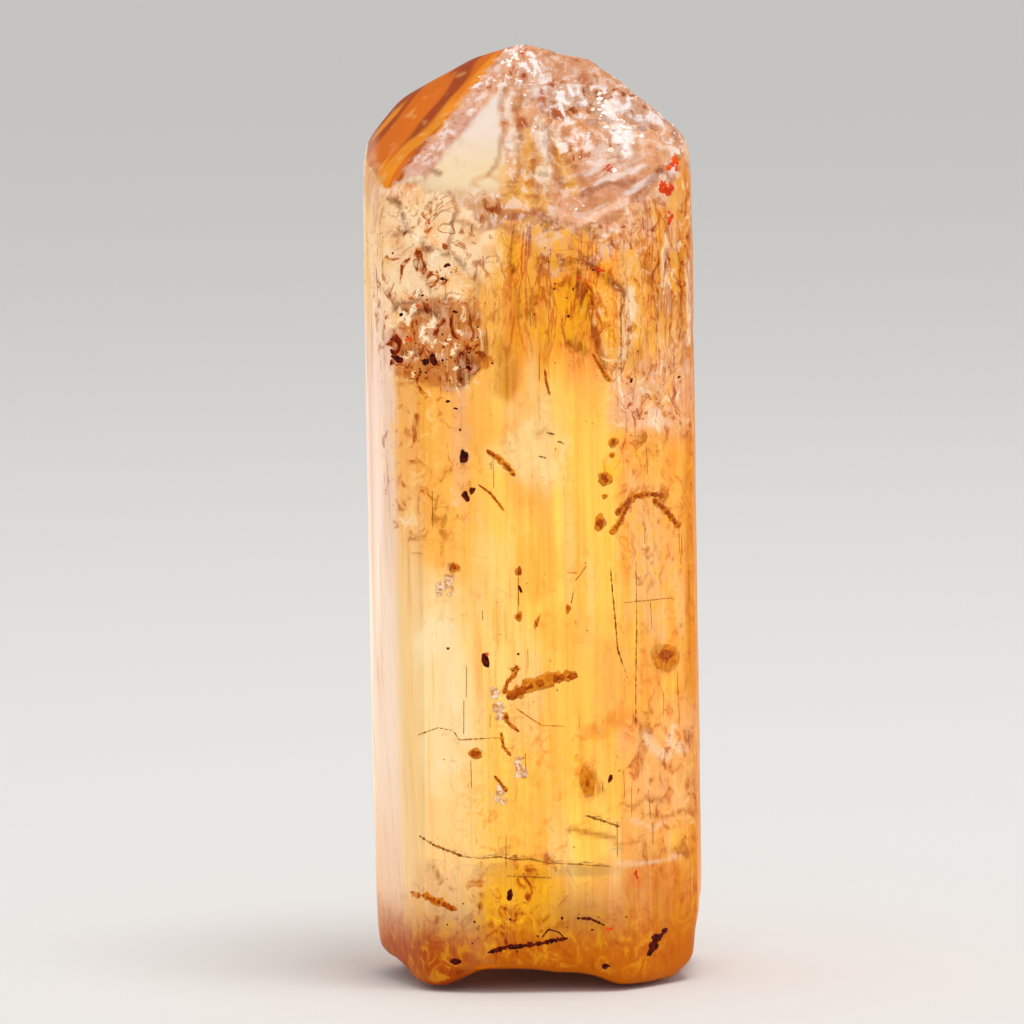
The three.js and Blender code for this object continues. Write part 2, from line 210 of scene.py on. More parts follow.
# Patterns in the film, and the ovals that have them: across, up, half width, half height, strength.
MARKS = ("flow", "swirl", "cracked", "mottled", "gilded", "crumbs")
PATTERNED = (
    ("cracked", 0.9, 28.9, 3.4, 4.4, 0.9),
    ("cracked", 5.4, 29.0, 2.2, 5.5, 0.8),
    ("swirl", 5.0, 24.6, 2.8, 2.8, 0.9),
    ("swirl", 1.0, 31.4, 5.5, 2.2, 0.8),
    ("mottled", -4.0, 26.8, 3.0, 2.8, 1.0),
    ("mottled", -4.4, 30.0, 3.2, 5.6, 0.9),
    ("mottled", 5.0, 24.4, 2.8, 3.4, 0.55),
    ("mottled", 5.0, 30.0, 3.2, 6.0, 0.7),
    ("mottled", -4.4, 22.0, 2.2, 5.0, 0.35),
    ("mottled", 5.2, 9.0, 2.6, 4.5, 0.25),
    ("gilded", 0.0, 2.6, 8.5, 4.6, 0.4),
    ("gilded", -1.0, 4.0, 3.2, 2.8, 0.9),
    ("gilded", 0.0, 8.5, 5.0, 6.0, 0.6),
    ("gilded", 5.0, 10.0, 3.4, 8.5, 0.4),
    ("gilded", 5.2, 18.5, 2.6, 6.5, 0.6),
    ("gilded", -0.5, 19.0, 5.0, 9.0, 0.24),
    ("gilded", 0.9, 29.4, 3.6, 4.4, 0.45),
    ("gilded", -4.6, 22.6, 2.0, 4.6, 0.45),
)

# The foot of the etched slope, and ovals on that slope, in millimetres. The white ovals are painted
# highlights where the slope glints; the orange ones are pits.
LEDGE = ((-3.3, 33.6), (-1.2, 32.7), (0.5, 31.6), (3.0, 31.4), (4.7, 32.4), (6.9, 34.5))
PAINTED_GLINTS = ((-0.55, 38.5, 0.35, 0.4), (3.9, 35.6, 0.8, 0.5), (3.6, 36.6, 0.4, 0.6), (4.1, 34.9, 0.3, 0.5))
ORANGE_PITS = (
    (0.22, 39.1, 0.25, 0.3),
    (0.65, 37.1, 0.25, 0.5),
    (-0.2, 36.1, 0.3, 0.3),
    (1.3, 36.4, 0.5, 0.2),
    (1.5, 38.3, 0.5, 0.2),
    (2.4, 37.8, 0.3, 0.3),
    (-0.1, 37.9, 0.2, 0.35),
    (3.1, 37.2, 0.4, 0.2),
    (1.1, 37.7, 0.2, 0.2),
)


def linear(hex_colour):
    """An sRGB hex colour as the linear colour that shaders take."""
    channels = [int(hex_colour[i : i + 2], 16) / 255 for i in (1, 3, 5)]
    return tuple(c / 12.92 if c <= 0.04045 else ((c + 0.055) / 1.055) ** 2.4 for c in channels)


def smooth_step(value, low, high):
    """0 below low, 1 above high, and a soft curve between."""
    share = np.clip((value - low) / (high - low), 0, 1)
    return share * share * (3 - 2 * share)


def blend(first, second, share):
    return first + share * (second - first)


def cell_noise(points, cell, seed, size=32):
    """Smooth noise from -1 to 1 at each point, with cells of the given size along x, y and z."""
    values = np.random.default_rng(seed).uniform(-1, 1, (size, size, size))
    scaled = points / np.asarray(cell)
    corner = np.floor(scaled).astype(int)
    share = scaled - corner
    share_x, share_y, share_z = (share * share * (3 - 2 * share)).T
    (x0, y0, z0), (x1, y1, z1) = (corner % size).T, ((corner + 1) % size).T

    def at(x, y):
        return blend(values[x, y, z0], values[x, y, z1], share_z)

    return blend(blend(at(x0, y0), at(x0, y1), share_y), blend(at(x1, y0), at(x1, y1), share_y), share_x)


def drift(points, size, seed, low=-0.25, high=0.35):
    """Two layers of noise as shares from 0 to 1, with features of a size in millimetres along x, y and z."""
    cell = np.array(size) * MM
    noise = cell_noise(points, cell, seed) + 0.5 * cell_noise(points, cell / 2.1, seed + 500)
    return smooth_step(noise, low, high)


def hillocks(points, size, steepness, seed, count=32):
    """Height of etch hillocks: each cell has a flat top of its own tilt, and meets its neighbours sharply."""
    centres = np.random.default_rng(seed).uniform(0, 1, (count, count, count, 3))
    tilts = np.random.default_rng(seed + 1).uniform(-steepness, steepness, centres.shape)
    scaled = points / size
    corner = np.floor(scaled).astype(int)
    nearest = np.full(len(points), np.inf)
    height = np.zeros(len(points))
    for step in np.ndindex(3, 3, 3):
        here = corner + np.array(step) - 1
        index = tuple((here % count).T)
        way = scaled - here - centres[index]
        distance = np.linalg.norm(way, axis=1)
        closer = distance < nearest
        nearest[closer] = distance[closer]
        height = np.where(closer, np.einsum("ij,ij->i", way, tilts[index]), height)
    return height * size


def facing(azimuth, tilt):
    """The way that a slope looks, from its azimuth and its tilt from level."""
    a, t = math.radians(azimuth), math.radians(tilt)
    return np.array((math.sin(a) * math.sin(t), -math.cos(a) * math.sin(t), math.cos(t)))


def add(tree, kind, links=(), **settings):
    """Adds a node, sets its inputs and properties by name, and links (input, source) pairs."""
    made = tree.nodes.new(kind)
    for name, value in settings.items():
        if name in made.inputs:
            made.inputs[name].default_value = value
        else:
            setattr(made, name, value)
    for name, source in links:
        tree.links.new(source, made.inputs[name])
    return made


def new_material(name):
    material = bpy.data.materials.new(name)
    material.use_nodes = True
    tree = material.node_tree
    tree.nodes.clear()
    return material, tree


# The crystal's visible mesh


def refined_mesh():
    """The solid's mesh in small even faces, and the same faces with the edges rounded by wear."""
    copy = bpy.data.objects.new("even_skin", node.data.copy())
    bpy.context.collection.objects.link(copy)
    even = copy.modifiers.new("even_faces", "REMESH")
    even.mode = "VOXEL"
    even.voxel_size = FACE_SIZE
    meshes = []
    for iterations in (0, ROUNDING):
        if iterations:
            wear = copy.modifiers.new("worn_edges", "SMOOTH")
            wear.factor = 0.5
            wear.iterations = iterations
        made = copy.evaluated_get(bpy.context.evaluated_depsgraph_get())
        meshes.append(bpy.data.meshes.new_from_object(made))
    bpy.data.objects.remove(copy)
    return meshes


def coordinates(mesh, name="co"):
    """The places of a mesh's points, or their normals, as rows."""
    values = np.empty(len(mesh.vertices) * 3)
    mesh.vertices.foreach_get(name, values)
    return values.reshape(-1, 3)


def above_slope(points, slope):
    """How far each point is outside a slope of the point."""
    azimuth, tilt, crossing = slope
    return (points - AXIS - (0, 0, crossing)) @ facing(azimuth, tilt)


def near_slope(points, slope, reach):
    """1 on a slope of the point, falling to 0 at the given distance from it."""
    return 1 - smooth_step(np.abs(above_slope(points, slope)), 0.4 * reach, reach)


def on_front(points):
    """1 on the front half, ending raggedly round the sides."""
    ragged = 1.5 * MM * cell_noise(points, (0.9 * MM, 0.9 * MM, 2 * MM), 27)
    return 1 - smooth_step(points[:, 1] + ragged, 0, 1.5 * MM)


def oval(points, across, up, half_width, half_height):
    """A soft oval with a ragged rim on the front faces, from 1 in the middle to 0; sizes in millimetres."""
    reach = np.hypot((points[:, 0] / MM - across) / half_width, (points[:, 2] / MM - up) / half_height)
    reach += 0.3 * cell_noise(points, np.array((0.6, 0.6, 0.9)) * half_width * MM, 17)
    reach += 0.15 * cell_noise(points, np.array((0.25, 0.25, 0.4)) * half_width * MM, 23)
    return (1 - smooth_step(reach, 0.45, 1)) * on_front(points)


def near_line(points, path, width):
    """1 along a path of (across, up) on the front, falling raggedly to 0 at its width; in millimetres."""
    place = points[:, [0, 2]] / MM
    nearest = np.full(len(points), np.inf)
    for start, end in zip(np.array(path), np.array(path[1:])):
        along = np.clip((place - start) @ (end - start) / ((end - start) @ (end - start)), 0, 1)
        nearest = np.minimum(nearest, np.linalg.norm(place - start - along[:, None] * (end - start), axis=1))
    nearest += 0.4 * width * cell_noise(points, (0.5 * MM,) * 3, 18)
    return (1 - smooth_step(nearest, 0.3 * width, width)) * on_front(points)


def zones(points, normals):
    """Where the skin is striated, etched, worn, broken and coloured: shares from 0 to 1, by name."""
    x, y, z = points.T / MM
    front = 1 - smooth_step(y, -1.5, 0.5)
    upright = 1 - smooth_step(np.abs(normals[:, 2]), 0.2, 0.5)
    worn = np.maximum.reduce([oval(points, *place) for place in WORN_OVALS]) * upright
    etched = near_slope(points, FRONT_SLOPE, 0.6 * MM) * (normals[:, 2] > 0.25)
    amber = near_slope(points, LEFT_SLOPE, 0.5 * MM) * (normals[:, 2] > 0.5)
    beside = np.abs(above_slope(points, FRONT_SLOPE)) + 0.12 * MM * cell_noise(points, (0.4 * MM,) * 3, 24)
    broken = smooth_step(-normals[:, 2], 0.3, 0.6) + 1 - smooth_step(z, 0.2, 1.6)
    edge = -x + 0.3 * cell_noise(points, (0.5 * MM, 0.5 * MM, 0.9 * MM), 25)
    corner = smooth_step(edge, 0.95, 1.25) * smooth_step(z, 32.6, 33.8) * (1 - smooth_step(z, 37.2, 37.6))
    return {
        "front": front,
        "striated": upright,
        "etched": etched,
        "cream": etched * corner,
        "amber": amber,
        "crest": amber * (1 - smooth_step(beside, 0.22 * MM, 0.4 * MM)),
        "slopes": (normals[:, 2] > 0.3) * (1 - amber) * (1 - front),
        "worn": worn,
        "right": smooth_step(x, 3.2, 3.9) * (1 - smooth_step(y, 2, 4)) * upright,
        # The pale band on the left bevel is a painted reflection of the light from the left behind.
        "reflection_band": smooth_step(-x, 5.5, 6.0) * front * (1 - smooth_step(z, 25, 30)) * upright,
        "low": 1 - smooth_step(z, 0.5, 4.5),
        "foot": 1 - smooth_step(z, 1.4, 4.0),
        "broken": np.clip(broken, 0, 1) * (z > 0.02),
    }


def relief(points, zone):
    """How far each point of the skin moves out along its normal."""
    striations = sum(
        size * cell_noise(points, (width * MM, width * MM, length * MM), seed)
        for size, width, length, seed in ((0.008, 0.9, 40, 1), (0.007, 0.5, 25, 2), (0.005, 0.32, 12, 3))
    )
    crust = 0.05 * cell_noise(points, (0.7 * MM, 1.8 * MM, 2 * MM), 11)
    crust += hillocks(points, 0.55 * MM, 0.18, 12) / MM + hillocks(points, 0.32 * MM, 0.16, 13) / MM
    domes = 0.03 * cell_noise(points, (0.9 * MM,) * 3, 14) + 0.015 * cell_noise(points, (0.45 * MM,) * 3, 15)
    ripples = 0.03 * cell_noise(points, (0.8 * MM, 0.8 * MM, 0.5 * MM), 21)
    rugged = 0.014 * cell_noise(points, (0.5 * MM, 0.5 * MM, 1.6 * MM), 22)
    height = zone["striated"] * (1 - zone["worn"]) * striations + zone["right"] * rugged
    height += zone["etched"] * (1 - 0.85 * zone["cream"]) * crust
    height += zone["worn"] * domes + zone["broken"] * ripples
    return height * MM


def tint(points, zone):
    """The colour that the skin gives the light that passes it, from the crystal's grown zones and clouds."""
    colour = np.tile(linear("#fff6dc"), (len(points), 1))

    def wash(hex_colour, share, *noise):
        """Tints by a share; noise is the size, the seed and the limits of a drift that breaks it up."""
        if noise:
            share = share * drift(points, *noise)
        colour[:] += share[:, None] * (np.array(linear(hex_colour)) - colour)

    striated, right, worn, amber = zone["striated"], zone["right"], zone["worn"], zone["amber"]
    wash("#ffdf9e", 0.7 * striated, (0.5, 0.5, 9), 60)
    wash("#f9b85a", 0.5 * striated, (2.4, 2.4, 6), 62, 0, 0.8)
    wash("#fbd09a", 0.8 * right)
    wash("#f2a840", 0.8 * right, (0.9, 0.9, 1.6), 61, 0.0, 0.25)
    wash("#fff0d0", 0.85 * right, (0.4, 0.4, 2.4), 64, 0.3, 0.5)
    ragged = 0.6 + 0.4 * drift(points, (0.45, 0.45, 2.2), 65)
    for *place, hex_colour, strength in CLOUDS:
        wash(hex_colour, strength * oval(points, *place) * ragged)
    below_ledge = oval(points, 0.9, 29.0, 3.2, 4.2)
    wash("#d98a10", 0.8 * below_ledge, (0.3, 0.3, 2.6), 82, 0.1, 0.5)
    wash("#ffd264", 0.7 * below_ledge, (0.35, 0.35, 4), 83, 0.3, 0.6)
    wash("#ffecc8", 0.85 * worn)
    for place in BROWN_BLOCKS:
        wash("#d9a070", 0.7 * oval(points, *place))
    wash("#e88a18", amber)
    wash("#f7d0b0", zone["etched"])
    wash("#f0a860", 0.9 * zone["etched"], (0.4, 0.5, 1.2), 69, 0.2, 0.5)
    # A near-white tint on the left bevel: painted reflection, on top of the light that the bevel really
    # reflects.
    wash("#fdeee2", 0.95 * zone["reflection_band"])
    crumbled = 0.6 + 0.4 * drift(points, (1.2, 1.2, 0.8), 70, -0.6, 0.2)
    wash("#fcc85c", zone["low"] * crumbled)
    wash("#f5b040", 0.8 * zone["foot"])
    return colour**2


def frost(points, zone):
    """The film that growth, etching and wear left on the skin: its share from 0 to 1, and its colour. Some of
    its pale marks are painted highlights, and the left bevel's band is a painted reflection.
    """
    x, _, z = points.T / MM
    share = np.zeros(len(points))
    colour = np.tile(linear("#fdd47c"), (len(points), 1))

    def coat(hex_colour, amount, *noise):
        """Lays a colour over the film; noise is the size, the seed and the limits of a drift in it."""
        if noise:
            amount = amount * drift(points, *noise)
        total = share + amount - share * amount
        weight = amount / np.maximum(total, 1e-6)
        colour[:] += weight[:, None] * (np.array(linear(hex_colour)) - colour)
        share[:] = total

    striated, etched, worn, right = zone["striated"], zone["etched"], zone["worn"], zone["right"]
    amber, cream, foot, reflection_band = zone["amber"], zone["cream"], zone["foot"], zone["reflection_band"]
    front, behind = zone["front"], 1 - zone["front"]
    grown = striated * front
    # Thin haze of the grown faces, in soft upright strips.
    coat("#fbcc6c", 0.35 * grown)
    coat("#fee4a6", 0.35 * grown, (1.0, 1.0, 6), 85, 0.0, 0.6)
    coat("#f2ae4c", 0.3 * grown, (1.6, 1.6, 4), 81, 0.2, 0.7)
    left = smooth_step(-x, 1.4, 3.4) * grown
    coat("#fee6b0", 0.5 * left * (1 - smooth_step(z, 15, 19)))
    coat("#f3aa50", 0.5 * left * smooth_step(z, 16, 20))
    coat("#fdd08c", 0.8 * grown * smooth_step(-x, 4.5, 5.0))
    strip = smooth_step(-x, 4.0, 4.6) * smooth_step(z, 19, 22) * (1 - smooth_step(-x, 5.4, 5.8))
    coat("#f39c34", 0.6 * grown * strip)
    coat("#ef9f3c", 0.5 * right)
    coat("#e28a28", 0.45 * right, (0.9, 0.9, 2.0), 76, 0.1, 0.6)
    coat("#fbc888", 0.45 * right, (0.8, 0.8, 2.6), 64, 0.15, 0.6)
    coat("#e48410", 0.9 * smooth_step(x, 6.1, 6.7) * right)
    uneven = 0.6 + 0.4 * drift(points, (0.7, 0.7, 1.8), 65)
    for *place, hex_colour, strength in CLOUDS:
        coat(hex_colour, 0.6 * strength * striated * oval(points, *place) * uneven)
    # Peach crust that hangs raggedly below the ledge of the etched slope.
    hanging = np.interp(x, *zip(*LEDGE)) - z
    ragged = hanging + 1.1 * cell_noise(points, (0.8 * MM, 0.8 * MM, 1.2 * MM), 97)
    ragged += 0.5 * cell_noise(points, (0.35 * MM, 0.35 * MM, 0.5 * MM), 98)
    fringe = grown * (1 - smooth_step(ragged, 0.1, 1.5))
    coat("#de9a62", 0.8 * fringe)
    coat("#f6d4bc", 0.6 * fringe, (0.7, 0.7, 0.5), 74, 0.0, 0.5)
    coat("#f2c8ae", 0.6 * oval(points, 5.0, 32.4, 2.4, 2.0) * striated, (0.6, 0.6, 0.9), 77, -0.2, 0.4)
    # Bubbly pink crust on the right, with pale blotches that are painted glints.
    crusty = oval(points, 5.0, 24.6, 2.4, 2.6) * striated
    coat("#eeb48c", 0.6 * crusty)
    coat("#fbe4d2", 0.6 * crusty, (0.5, 0.5, 0.5), 94, 0.2, 0.6)
    # Worn hollows, milky and swirled: pale bosses among brown arcs.
    coat("#ffdfb8", 0.8 * worn)
    coat("#eeac68", 0.6 * worn, (0.8, 0.8, 0.7), 75, 0.1, 0.5)
    coat("#f6b650", 0.5 * worn, (0.9, 0.9, 0.8), 66, 0.15, 0.5)
    for place in PALE_BOSSES:
        coat("#fad8a8", 0.7 * striated * oval(points, *place))
    block = np.maximum.reduce([oval(points, *place) for place in BROWN_BLOCKS])
    block = smooth_step(block, 0.1, 0.4) * striated
    coat("#c26c28", 0.8 * block)
    coat("#8a3c12", 0.75 * block * (1 - smooth_step(z, 26.6, 27.4)), (0.9, 0.9, 0.7), 67, 0.1, 0.4)
    coat("#e2ae88", 0.7 * block, (0.6, 0.6, 0.5), 90, 0.2, 0.5)
    # The etched slope: peach, with white crust, golden grooves, a smooth cream corner and a smooth peach one.
    ridge = etched * (1 - smooth_step(np.abs(above_slope(points, LEFT_SLOPE)), 0.3 * MM, 0.6 * MM))
    coat("#d09c7c", 0.8 * etched)
    coat("#d8c6bc", 0.7 * etched * smooth_step(z, 33.5, 35.5), (1.0, 1.0, 1.2), 72, -0.1, 0.4)
    coat("#b87a4a", 0.5 * etched, (0.5, 0.8, 0.8), 84, 0.3, 0.6)
    grooves = etched * oval(points, 0.5, 34.6, 2.1, 3.0)
    coat("#d4963e", 0.65 * grooves, (0.4, 3, 3), 87, -0.1, 0.3)
    coat("#e0cfb0", 0.7 * grooves, (0.35, 2, 2), 91, 0.2, 0.5)
    peach = etched * oval(points, 4.2, 33.2, 3.2, 1.9)
    coat("#c4835c", 0.85 * peach)
    # Pale diagonal streaks across the smooth peach corner: painted highlights.
    strokes = np.column_stack([points[:, 0] * 0.5 - points[:, 2], points[:, 1] * 0, points[:, 0]])
    coat("#dcc8be", 0.75 * peach * drift(strokes, (0.35, 1, 1.6), 88, 0.2, 0.5))
    coat("#bb7f5e", 0.7 * etched * smooth_step(z, 37.0, 38.8))
    # White ovals on the etched slope: painted highlights.
    for place in PAINTED_GLINTS:
        coat("#f0e6e2", 0.9 * etched * oval(points, *place))
    for place in ORANGE_PITS:
        coat("#a84a08", 0.9 * etched * oval(points, *place))
    lip = etched * (1 - smooth_step(-ragged, 0.2, 1.6)) * drift(points, (0.8, 0.8, 0.6), 99, -0.3, 0.3)
    coat("#bc7c34", 0.7 * lip)
    coat("#dcc49c", 0.92 * cream)
    coat("#dac8be", 0.85 * cream * smooth_step(z, 34.2, 36.2))
    coat("#c49a88", 0.7 * ridge, (0.5, 0.5, 0.5), 92, -0.5, 0.2)
    coat("#9a5a34", 0.5 * near_line(points, LEDGE, 0.3) * (x > 0), (0.7, 0.7, 0.4), 78, 0, 0.4)
    for hex_colour, strength, width, *path in STROKES:
        coat(hex_colour, strength * near_line(points, path, width))
    # The amber slope, with dark streaks along its ridge and a paler rim.
    lines = np.column_stack([above_slope(points, FRONT_SLOPE), points[:, 2], points[:, 1] * 0])
    coat("#c86200", 0.93 * amber)
    coat("#8a2e00", 0.85 * amber * drift(lines, (0.55, 3, 1), 68, 0.05, 0.4))
    coat("#e08a14", 0.75 * amber * drift(lines, (0.45, 2.6, 1), 86, 0.15, 0.45))
    coat("#e0a860", 0.4 * amber, (0.7, 0.7, 0.4), 89, 0.5, 0.8)
    # The paler left rim of the amber slope is a painted sheen.
    coat("#cc9476", 0.5 * amber * smooth_step(-x, 6.1, 6.6))
    coat("#cc9c84", 0.9 * zone["crest"])
    # The left bevel's pale band, pinker higher up and peach at its foot: a painted reflection, with some real
    # reflection of the light from the left behind.
    coat("#fae0d0", 0.7 * reflection_band)
    coat("#f0c8b0", 0.7 * reflection_band * smooth_step(z, 16, 21))
    coat("#f2bc8c", 0.5 * reflection_band * (1 - smooth_step(z, 5, 10)))
    # The broken base, golden where it crumbled and deep orange at the foot.
    coat("#ec9410", 0.6 * zone["low"] * striated)
    coat("#f6a60c", 0.75 * striated * oval(points, -1.0, 4.0, 2.8, 2.2))
    coat("#b04800", 0.95 * foot * smooth_step(-x, 1.5, 3.5))
    coat("#c86400", 0.93 * foot * smooth_step(x, -3.5, -1.5))
    # Hidden sides have thinner films, in long strips.
    coat("#cf9468", 0.6 * zone["slopes"])
    coat("#efb05a", 0.22 * striated * behind)
    coat("#fbd9a4", 0.3 * striated * behind, (0.9, 0.9, 10), 81, 0.1, 0.8)
    coat("#e6943a", 0.3 * striated * behind, (1.1, 1.1, 14), 96, 0.1, 0.8)
    return share, colour


def crystal_skin():
    """The crystal's skin: worn, with its relief, and with the shares and colours that its materials read."""
    mesh, rounded = refined_mesh()
    points, normals = coordinates(mesh), coordinates(mesh, "normal")
    zone = zones(points, normals)
    z = points[:, 2] / MM
    wear = np.maximum.reduce([smooth_step(z, 29, 33), 1 - smooth_step(z, 1.5, 4.5), np.full(len(z), 0.4)])
    worn_to = points + wear[:, None] * (coordinates(rounded) - points)
    moved = worn_to + coordinates(rounded, "normal") * relief(points, zone)[:, None]
    mesh.vertices.foreach_set("co", np.clip(moved, LOW, HIGH).ravel())
    bpy.data.meshes.remove(rounded)
    rough = np.maximum.reduce([zone["etched"], 0.8 * zone["worn"], 0.75 * zone["right"], 0.5 * zone["reflection_band"]])
    haze, haze_and_sheen_tint = frost(points, zone)
    shares = {name: np.zeros(len(points)) for name in MARKS}
    for name, *place, strength in PATTERNED:
        here = strength * zone["striated"] * oval(points, *place)
        shares[name] = np.maximum(shares[name], here)
    flow = 0.3 + 0.5 * drift(points, (2.6, 2.6, 7), 95, 0.0, 0.7)
    shares["flow"] = zone["striated"] * (1 - zone["worn"]) * (1 - zone["low"]) * flow
    swirl = zone["worn"] * (0.4 + 0.6 * drift(points, (1.2, 1.2, 1.2), 16))
    shares["swirl"] = np.maximum(shares["swirl"], swirl)
    smoother = np.maximum(0.9 * zone["cream"], 0.7 * oval(points, 4.2, 33.2, 3.2, 1.9))
    smoother = np.maximum(smoother, 0.6 * oval(points, 0.4, 33.6, 2.4, 2.4))
    crumbly = 0.35 + 0.65 * drift(points, (1.6, 1.6, 1.6), 19, -0.3, 0.3)
    crumbs = np.maximum(zone["etched"] * (1 - smoother), 0.5 * zone["crest"])
    crumbs = np.maximum(crumbs, 0.6 * zone["slopes"])
    shares["crumbs"] = 0.85 * crumbs * crumbly
    shares |= {"striated": zone["striated"], "rough": rough, "haze": haze}
    for name, share in shares.items():
        mesh.attributes.new(name, "FLOAT", "POINT").data.foreach_set("value", share)
    for name, colour in (("tint", tint(points, zone)), ("haze_and_sheen_tint", haze_and_sheen_tint)):
        opaque = np.column_stack([colour, np.ones(len(colour))])
        mesh.attributes.new(name, "FLOAT_COLOR", "POINT").data.foreach_set("color", opaque.ravel())
    mesh.polygons.foreach_set("use_smooth", [True] * len(mesh.polygons))
    mesh.set_sharp_from_angle(angle=SHARP_EDGE)
    mesh.materials.clear()
    mesh.update()
    return mesh


def frost_film(skin):
    """The frosted film: the skin's own faces where there is frost, just outside it."""
    film = bmesh.new()
    film.from_mesh(skin.data)
    haze = film.verts.layers.float["haze"]
    clear = [face for face in film.faces if max(vert[haze] for vert in face.verts) < THINNEST_FROST]
    bmesh.ops.delete(film, geom=clear, context="FACES")
    for vert in film.verts:
        vert.co += vert.normal * FILM_LIFT
    mesh = bpy.data.meshes.new("frost_and_painted_sheen")
    film.to_mesh(mesh)
    film.free()
    return mesh


def dress(name, mesh, material):
    """Adds a piece that rides with the crystal and takes the light that shines on the crystal alone."""
    mesh.materials.append(material)
    piece = bpy.data.objects.new(name, mesh)
    bpy.context.collection.objects.link(piece)
    TOPAZ_PIECES.objects.link(piece)
    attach(piece, "root")
    return piece


# Flaws in the skin and inside. Places are in millimetres: across, up, and depth behind the front faces.

SPECKS = 110
SCRATCHES = 40
CRUMBLED_BITS = 70
SMALL_SCALES = 110

# Hair cracks have a radius and a path. Cleavage cracks have the radius of their mouth in the skin, if any,
# their thickness and their path.
HAIR_CRACKS = (
    (0.02, (2.16, 17.79), (1.85, 17.37), (1.68, 17.17)),
    (0.015, (1.35, 17.51), (1.81, 17.5)),
    (0.02, (1.5, 16.2), (1.6, 16.7)),
    (0.03, (3.16, 17.6), (3.3, 15.79), (3.41, 14.26), (3.81, 13.03)),
    (0.022, (4.23, 17.88), (4.23, 15.35), (4.15, 12.82), (4.12, 10.92)),
    (0.02, (3.77, 28.88), (3.72, 25.5)),
    (0.016, (3.69, 16.2), (5.81, 16.17)),
    (0.02, (-0.85, 11.88), (0.19, 11.16), (1.12, 11.1)),
    (0.022, (-4.97, 10.72), (-4.12, 11.05), (-3.49, 10.95), (-3.24, 10.57), (-2.27, 10.64), (-1.55, 10.67)),
    (0.03, (0.6, 23.36), (0.95, 23.26)),
    (0.03, (1.05, 22.98), (1.3, 22.88)),
    (0.025, (0.25, 22.38), (0.56, 22.3)),
)
CLEAVAGE_CRACKS = (
    (0.05, 0.14, (-5.0, 6.5), (-4.37, 6.11), (-3.74, 5.89), (-3.15, 5.67)),
    (0.03, 0.05, (-3.15, 5.67), (-2.48, 5.61), (-1.63, 5.69), (-1.0, 5.55), (-0.36, 5.58), (0.27, 5.4)),
    (0.02, 0.03, (0.27, 5.4), (0.9, 5.35), (1.96, 5.29), (3.01, 5.19)),
    (0.02, 0.03, (-1.39, 4.88), (-0.38, 4.82), (0.55, 4.76)),
    (0.045, 0.12, (1.99, 7.36), (2.62, 7.14), (3.37, 6.87)),
    (None, 0.06, (2.89, 5.78), (4.28, 5.63), (6.06, 5.6)),
)


def inside(across, up, depth=0.0):
    """The point this deep behind the crystal's front."""
    hit = SURFACE.ray_cast(Vector((across * MM, LOW[1] - 1, up * MM)), Vector((0, 1, 0)))[0]
    return (hit or Vector((across * MM, 0, up * MM))) + Vector((0, depth * MM, 0))


